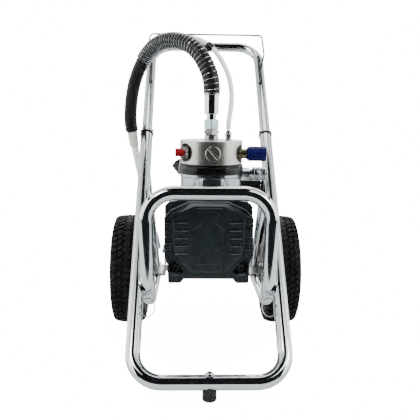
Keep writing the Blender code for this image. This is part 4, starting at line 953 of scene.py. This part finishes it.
def build_switch_box():
    """Electrical box with a lid, screws and a rocker switch, and the gland for the mains lead."""
    low, high = (0.048, 0.004, 0.3225), (0.121, 0.060, 0.3580)
    parting = 0.3478
    base = block(low, (high[0], high[1], parting), 0.0030, 3)
    lid = block((low[0] - 0.0008, low[1] - 0.0008, parting + 0.0006), (high[0] + 0.0008, high[1] + 0.0008, high[2]),
                0.0026, 3)
    seam = block((low[0] + 0.001, low[1] + 0.001, parting - 0.001), (high[0] - 0.001, high[1] - 0.001, parting + 0.002))
    box = piece("switch_case", merged(base, seam, lid), "black_plastic", node="switch_box")
    pocket = block((0.082, 0.020, 0.3520), (0.106, 0.046, 0.3700), 0.0006)
    corners = [(low[0] + 0.0065, low[1] + 0.0065), (high[0] - 0.0065, low[1] + 0.0065),
               (low[0] + 0.0065, high[1] - 0.0065), (high[0] - 0.0065, high[1] - 0.0065)]
    sinks = [(turned([(0, high[2] - 0.0015), (0.0034, high[2] - 0.0015), (0.0034, high[2] + 0.002),
                      (0, high[2] + 0.002)], 32), Matrix.Translation((x, y, 0))) for x, y in corners]
    carve(box, (pocket, Matrix.Identity(4)), *sinks)
    heads = []
    for x, y in corners:
        heads.append((turned([(0, high[2] - 0.0014), (0.0028, high[2] - 0.0014), (0.0030, high[2] - 0.0008),
                              (0.0024, high[2] - 0.0002), (0.0010, high[2]), (0.0010, high[2] - 0.0008),
                              (0, high[2] - 0.0008)], 24), Matrix.Translation((x, y, 0))))
    piece("case_screws", merged(*heads), "inner_steel", body="cart")
    bezel = [block((0.0800, 0.0180, 0.3578), (0.0822, 0.0480, 0.3596), 0.0005),
             block((0.1058, 0.0180, 0.3578), (0.1080, 0.0480, 0.3596), 0.0005),
             block((0.0800, 0.0180, 0.3578), (0.1080, 0.0202, 0.3596), 0.0005),
             block((0.0800, 0.0458, 0.3578), (0.1080, 0.0480, 0.3596), 0.0005)]
    piece("rocker_bezel", merged(*bezel), "black_plastic", body="cart")

    arc = [(0.0115 - 0.0023 * k, 0.0001 + 0.0044 * ((0.0115 - 0.0023 * k) / 0.0115) ** 2) for k in range(11)]
    outline = [(-height, y) for y, height in arc] + [(0.0020, -0.0085), (0.0028, 0), (0.0020, 0.0085)]
    piece("rocker_paddle", extruded(outline, -0.0105, 0.0105, 0.0004), "black_plastic", along(X, (0.094, 0.033, 0.3558)),
          "rocker_switch")
    gland = turned([(0, 0), (0.0098, 0), (0.0102, 0.0006), (0.0102, 0.0016), (0.0092, 0.0022), (0.0092, 0.0070),
                    (0.0082, 0.0085), (0.0078, 0.0130), (0.0066, 0.0175), (0.0056, 0.0195), (0.0046, 0.0200),
                    (0.0042, 0.0194), (0.0042, 0.006), (0, 0.006)], 48)
    nut = extruded(hexagon(0.0190), 0.0022, 0.0072, 0.0008)
    piece("gland_nut", merged(gland, nut), "black_plastic", along(Y, (0.085, high[1] + GAP, 0.340)), "cable_gland")


# ---------------------------------------------------------------- pump

PUMP_X, PUMP_Y = 0.006, -0.0756
PUMP_BASE, RING_BASE, HEAD_BASE, HEAD_TOP = 0.3380, 0.3823, 0.4024, 0.4510
HEAD_R, RING_R, BODY_R, PLUG_R, PLATE_R = 0.0645, 0.0670, 0.0630, 0.0150, 0.0475
PLUG_X, PLUG_Z, OUTLET_X, OUTLET_Z = 0.0075, 0.4265, 0.0690, 0.3815
BUTTON_SEAT, RELIEF_SEAT, POCKET_R = (-0.0400, -0.1106, 0.4268), (0.0550, -0.0981, 0.4246), 0.0188
VALVE_Z, VALVE_TURN, VALVE_TILT = 0.370, radians(138.5), radians(40)
PUMP = Matrix.Translation((PUMP_X, PUMP_Y, 0))


def fluted(radius, depth, count, low, high):
    """Grip with shallow round grooves along it."""
    per = 8
    outline = []
    for k in range(count * per):
        dip = depth * (1 + cos(2 * pi * (k % per) / per)) ** 2 / 4
        angle = 2 * pi * k / (count * per)
        outline.append(((radius - dip) * cos(angle), (radius - dip) * sin(angle)))
    return extruded(outline, low, high)


def plug(radius, low, high, steps=48):
    """Round cutter or pin between two heights."""
    return turned([(0, low), (radius, low), (radius, high), (0, high)], steps)


def build_hydraulics():
    """Polished housing with its outlet boss, the black clamp ring, and the pressure valve."""
    housing = piece("pump_housing",
                    turned([(0.0083, PUMP_BASE), (BODY_R - 0.003, PUMP_BASE), (BODY_R - 0.0008, PUMP_BASE + 0.0012),
                            (BODY_R, PUMP_BASE + 0.003), (BODY_R, 0.3758), (BODY_R + 0.0015, 0.3772),
                            (BODY_R + 0.0015, RING_BASE), (0.0125, RING_BASE), (0.0125, RING_BASE - 0.012),
                            (0.0083, RING_BASE - 0.012)], 128), "aluminium", PUMP, "hydraulic_housing")
    boss = turned([(0, 0.0485), (0.0120, 0.0485), (0.0125, 0.0620), (0.0118, 0.0630), (0, 0.0630)], 48)
    carve(housing, (boss, along(X, (PUMP_X, PUMP_Y, OUTLET_Z))), operation="UNION")
    port = turned([(0, 0.0500), (0.0063, 0.0500), (0.0063, 0.0800), (0, 0.0800)], 32)
    carve(housing, (port, along(X, (PUMP_X, PUMP_Y, OUTLET_Z))))
    soften(housing, 0.0004)
    # painted reflection: a dark strip on the front of the polished housing, where the dark room in front is mirrored
    arc = [-pi / 2 + radians(16.5) * (k / 8 - 1) for k in range(17)]
    reflection_strip = ([((BODY_R + 0.0008) * cos(angle), (BODY_R + 0.0008) * sin(angle)) for angle in arc]
              + [((BODY_R - 0.0010) * cos(angle), (BODY_R - 0.0010) * sin(angle)) for angle in reversed(arc)])
    piece("housing_painted_reflection", extruded(reflection_strip, PUMP_BASE + 0.003, 0.3750), "cowl_plastic", PUMP, body="cart")

    ring = piece("clamp_band",
                 turned([(PLATE_R + 0.0005, RING_BASE + GAP), (RING_R - 0.0020, RING_BASE + GAP),
                         (RING_R - 0.0004, RING_BASE + 0.0012), (RING_R, RING_BASE + 0.0026),
                         (RING_R, HEAD_BASE - 0.0045), (RING_R - 0.0006, HEAD_BASE - 0.0034),
                         (RING_R - 0.0016, HEAD_BASE - 0.0028), (RING_R - 0.0016, HEAD_BASE - GAP),
                         (PLATE_R + 0.0005, HEAD_BASE - GAP)], 128), "clamp_black", PUMP, "clamp_ring")
    room = turned([(0, 0.0400), (0.0130, 0.0400), (0.0130, 0.0720), (0, 0.0720)], 48)
    carve(ring, (room, along(X, (PUMP_X, PUMP_Y, OUTLET_Z))))
    for turn in (-62, -118, 10, 62, 118, 170):
        slit = extruded([(0.060, -0.0105), (0.072, -0.0118), (0.072, 0.0118), (0.060, 0.0105)],
                        RING_BASE - 0.001, RING_BASE + 0.0021)
        tilt = Matrix.Rotation(radians(turn), 4, "Z") @ Matrix.Rotation(0.05 * (1 if turn < -90 else -1), 4, "X")
        if abs(turn) > 30:
            carve(ring, (slit, PUMP @ tilt))
    soften(ring, 0.0004)

    valve_axis = Vector((cos(VALVE_TURN) * cos(VALVE_TILT), sin(VALVE_TURN) * cos(VALVE_TILT), sin(VALVE_TILT)))
    root = Vector((PUMP_X + BODY_R * cos(VALVE_TURN), PUMP_Y + BODY_R * sin(VALVE_TURN), VALVE_Z))
    stem = turned([(0, -0.0115), (0.0070, -0.0115), (0.0070, 0.0045), (0.0070, 0.0125), (0.0064, 0.0130),
                   (0.0045, 0.0130), (0.0045, 0.0300), (0, 0.0300)], 48)
    nut = extruded(hexagon(0.0170), 0.0040, 0.0100, 0.0006)
    piece("valve_stem_body", merged(stem, nut), "brass", along(valve_axis, root), "pressure_valve_stem")
    at_root = along(valve_axis, root)
    knob = piece("pressure_grip", fluted(0.0135, 0.0011, 9, 0.0185, 0.0420), "black_plastic", at_root,
                 "pressure_knob")
    carve(knob, (turned([(0, 0.0168), (0.0112, 0.0168), (0.0120, 0.0174), (0.0122, 0.0195), (0, 0.0195)], 64), at_root),
          operation="UNION")
    carve(knob, (plug(0.0050, 0.0100, 0.0310), at_root), (plug(0.0084, 0.0412, 0.0430), at_root))
    soften(knob, 0.0005)


def build_head():
    """Brushed stainless head with its two round side pockets, the cap screws and the slotted plug."""
    edge = 0.0016
    head = piece("head_block",
                 turned([(0, HEAD_BASE), (HEAD_R - edge, HEAD_BASE), (HEAD_R - 0.0004, HEAD_BASE + edge * 0.5),
                         (HEAD_R, HEAD_BASE + edge), (HEAD_R, HEAD_TOP - edge),
                         (HEAD_R - 0.0004, HEAD_TOP - edge * 0.5), (HEAD_R - edge, HEAD_TOP), (0, HEAD_TOP)], 144),
                 "stainless", PUMP, "pump_head")
    plug_at, at_button, at_relief = along(-Y, (PLUG_X, PUMP_Y, PLUG_Z)), along(-X, BUTTON_SEAT), along(X, RELIEF_SEAT)
    spots = [PUMP @ Matrix.Rotation(2 * pi * (k + 0.5) / 6, 4, "Z") @ Matrix.Translation((0.0520, 0, 0))
             for k in (0, 1, 2, 4)]
    plug_room = turned([(0, 0.045), (PLUG_R + GAP, 0.045), (PLUG_R + GAP, 0.0640), (PLUG_R + 0.0012, 0.0650),
                        (PLUG_R + 0.0012, 0.09), (0, 0.09)], 64)
    carve(head, (plug(0.030, HEAD_BASE - 0.01, HEAD_BASE + 0.004, 64), PUMP),
          (plug(0.0078, HEAD_BASE + 0.002, HEAD_TOP + 0.01), PUMP), (plug_room, plug_at),
          (plug(0.0070, 0.030, 0.046), plug_at), (plug(POCKET_R, 0, 0.04, 72), at_button),
          (plug(POCKET_R, 0, 0.04, 72), at_relief), (plug(0.0048, -0.020, 0.001), at_button),
          (plug(0.0053, -0.012, 0.001), at_relief),
          (plug(0.0043, HEAD_TOP - 0.012, HEAD_TOP + 0.01), Matrix.Translation((*RETURN_ROUTE[0][:2], 0))),
          *[(plug(0.0050, HEAD_TOP - 0.0050, HEAD_TOP + 0.01), spot) for spot in spots])
    soften(head, 0.0005)
    cups = [turned([(0, HEAD_TOP - 0.0049), (0.0046, HEAD_TOP - 0.0049), (0.0046, HEAD_TOP - 0.0006),
                    (0.0040, HEAD_TOP), (0.0024, HEAD_TOP), (0.0024, HEAD_TOP - 0.0026), (0, HEAD_TOP - 0.0026)], 40)
            for _ in spots]
    piece("head_screws", merged(*zip(cups, spots)), "inner_steel", body="cart")

    slotted = piece("plug_slotted",
                    turned([(0, 0.0453), (PLUG_R, 0.0453), (PLUG_R, 0.0638), (PLUG_R - 0.0010, 0.0647), (0, 0.0647)],
                           72), "stainless", plug_at, "outlet_plug")
    slot, flare, mouth = ([(-0.020, -half), (0.020, -half), (0.020, half), (-0.020, half)]
                          for half in (0.0007, 0.0008, 0.0030))
    across = plug_at @ Matrix.Rotation(radians(-48), 4, "Z")
    carve(slotted, (extruded(slot, 0.0618, 0.07), across), (frustum(flare, mouth, 0.0632, 0.0654), across))
    soften(slotted, 0.0003)


def build_controls():
    """Red pusher button in its bush, and the relief valve with its blue grip."""
    at_button, at_relief = along(-X, BUTTON_SEAT), along(X, RELIEF_SEAT)
    piece("button_bush",
          turned([(0.0048, GAP), (0.0080, GAP), (0.0088, 0.0008), (0.0088, 0.0030), (0.0078, 0.0040),
                  (0.0072, 0.0044), (0.0072, 0.0070), (0.0066, 0.0076), (0.0048, 0.0076)]), "bright_steel",
          at_button, "pusher_collar")
    for name, hole, place in (("button_gasket", 0.0092, at_button), ("relief_gasket", 0.0104, at_relief)):
        ring = [(hole, 0.0001), (POCKET_R - 0.0004, 0.0001), (POCKET_R - 0.0004, 0.0006), (hole, 0.0006)]
        piece(name, turned(ring), "soft_rubber", place, body="cart")
    button = piece("button_cap", fluted(0.0082, 0.0004, 16, 0.0118, 0.0276), "red_cap", at_button, "pusher_button")
    carve(button, (plug(0.0045, -0.0140, 0.0140), at_button), operation="UNION")
    soften(button, 0.0006)

    piece("relief_valve_body",
          turned([(0, -0.0115), (0.0050, -0.0115), (0.0050, GAP), (0.0092, GAP), (0.0100, 0.0010), (0.0100, 0.0092),
                  (0.0088, 0.0100), (0.0088, 0.0126), (0.0100, 0.0134), (0.0100, 0.0220), (0.0094, 0.0227),
                  (0.0058, 0.0227), (0.0058, 0.0370), (0, 0.0370)]), "brass", at_relief, "relief_stem")
    knob = piece("relief_grip", fluted(0.0152, 0.0006, 12, 0.0262, 0.0618), "blue_knob", at_relief, "relief_knob")
    carve(knob, (turned([(0, 0.0230), (0.0114, 0.0230), (0.0120, 0.0234), (0.0146, 0.0272), (0, 0.0272)], 72),
                 at_relief), operation="UNION")
    carve(knob, (plug(0.0061, 0.0200, 0.0373), at_relief), (plug(0.0106, 0.0608, 0.0640), at_relief))
    soften(knob, 0.0006)


def build_fittings():
    """Threaded outlet, inlet adapter, swivel nut and smooth ferrule."""
    outlet_at = along(X, (OUTLET_X, PUMP_Y, OUTLET_Z))
    fitting = piece("outlet_union",
                    turned([(0.0045, -0.010), (0.0060, -0.010), (0.0060, GAP), (0.0100, GAP), (0.0105, 0.0008),
                            (0.0105, 0.0225), (0.0140, 0.0225), (0.0147, 0.0232), (0.0147, 0.0268), (0.0140, 0.0276),
                            (0.0130, 0.0284), (0.0130, 0.0500), (0.0124, 0.0515), (0.0124, 0.0535), (0.0116, 0.0545),
                            (0.0060, 0.0545), (0.0045, 0.0520)], 72), "spring_wire", outlet_at, "outlet_fitting")
    flats = extruded(hexagon(0.0220), 0.0006, 0.0172)
    carve(fitting, (flats, outlet_at), operation="UNION")
    carve(fitting, (plug(0.0045, -0.0200, 0.0500), outlet_at))
    soften(fitting, 0.0005)
    turns, per_turn, pitch = 8, 36, 0.0026
    helix = [(0.0132 * cos(2 * pi * k / per_turn), 0.0132 * sin(2 * pi * k / per_turn),
              0.0292 + pitch * k / per_turn) for k in range(turns * per_turn + 1)]
    piece("outlet_thread", swept(helix, 0.0012, sides=8), "spring_wire", outlet_at, body="cart")

    nut_low, nut_high, ferrule_low, ferrule_top = 0.4728, 0.4928, 0.5035, 0.5450
    hex_low, hex_high = 0.4625, nut_low - GAP
    nipple = piece("inlet_nipple",
                   turned([(0, HEAD_TOP - 0.015), (0.0075, HEAD_TOP - 0.015), (0.0075, HEAD_TOP + GAP),
                           (0.0140, HEAD_TOP + GAP), (0.0145, HEAD_TOP + 0.0010), (0.0145, 0.4600), (0.0110, 0.4620),
                           (0.0110, hex_high), (0.0080, hex_high), (0.0080, 0.4800), (0, 0.4800)]), "bright_steel",
                   PUMP, "inlet_adapter")
    carve(nipple, (extruded(hexagon(0.0290, 0.6), hex_low, hex_high - 0.0005), PUMP), operation="UNION")
    soften(nipple, 0.0006)
    nut = piece("inlet_swivel", extruded(hexagon(0.0295, 0.5), nut_low, nut_high), "zinc", PUMP, "swivel_nut")
    carve(nut, (plug(0.0083, 0.46, 0.51), PUMP))
    soften(nut, 0.0010, 3)
    piece("hose_crimp",
          turned([(0, 0.4803), (0.0080, 0.4803), (0.0080, nut_high + GAP), (0.0100, nut_high + GAP),
                  (0.0100, ferrule_low), (0.0130, ferrule_low), (0.0141, ferrule_low + 0.0006),
                  (0.0145, ferrule_low + 0.0018), (0.0145, ferrule_top - 0.0012), (0.0139, ferrule_top),
                  (0, ferrule_top)], 96), "chrome_tube", PUMP, "hose_ferrule")
    piece("spring_end_ring",
          turned([(0.0147, 0.5420), (0.0160, 0.5420), (0.0168, 0.5428), (0.0168, 0.5450), (0.0160, 0.5458),
                  (0.0147, 0.5458)], 72), "spring_wire", PUMP, body="cart")


# ---------------------------------------------------------------- inner pieces keep the frame's own meshes

INNER = {
    "inner_steel": ["rotor", "front_bearing", "rear_bearing", "eccentric", "piston", "diaphragm_support",
                    "inlet_valve", "outlet_ball"],
    "winding": ["stator"],
    "black_plastic": ["cooling_fan"],
    "soft_rubber": ["diaphragm"],
    "spring_wire": ["piston_spring"],
}


def finish_inner_pieces():
    """Materials for the pieces inside the motor and the pump."""
    for slot, names in INNER.items():
        for name in names:
            mesh = frame["nodes"][name].data
            mesh.materials.clear()
            mesh.materials.append(FINISHES[slot])


make_camera()
make_studio()
build_suction_line()
build_return_line()
build_frame()
build_handle()
build_wheels()
build_cowl()
build_motor()
build_switch_box()
build_hydraulics()
build_head()
build_controls()
build_fittings()
finish_inner_pieces()
even_normals()
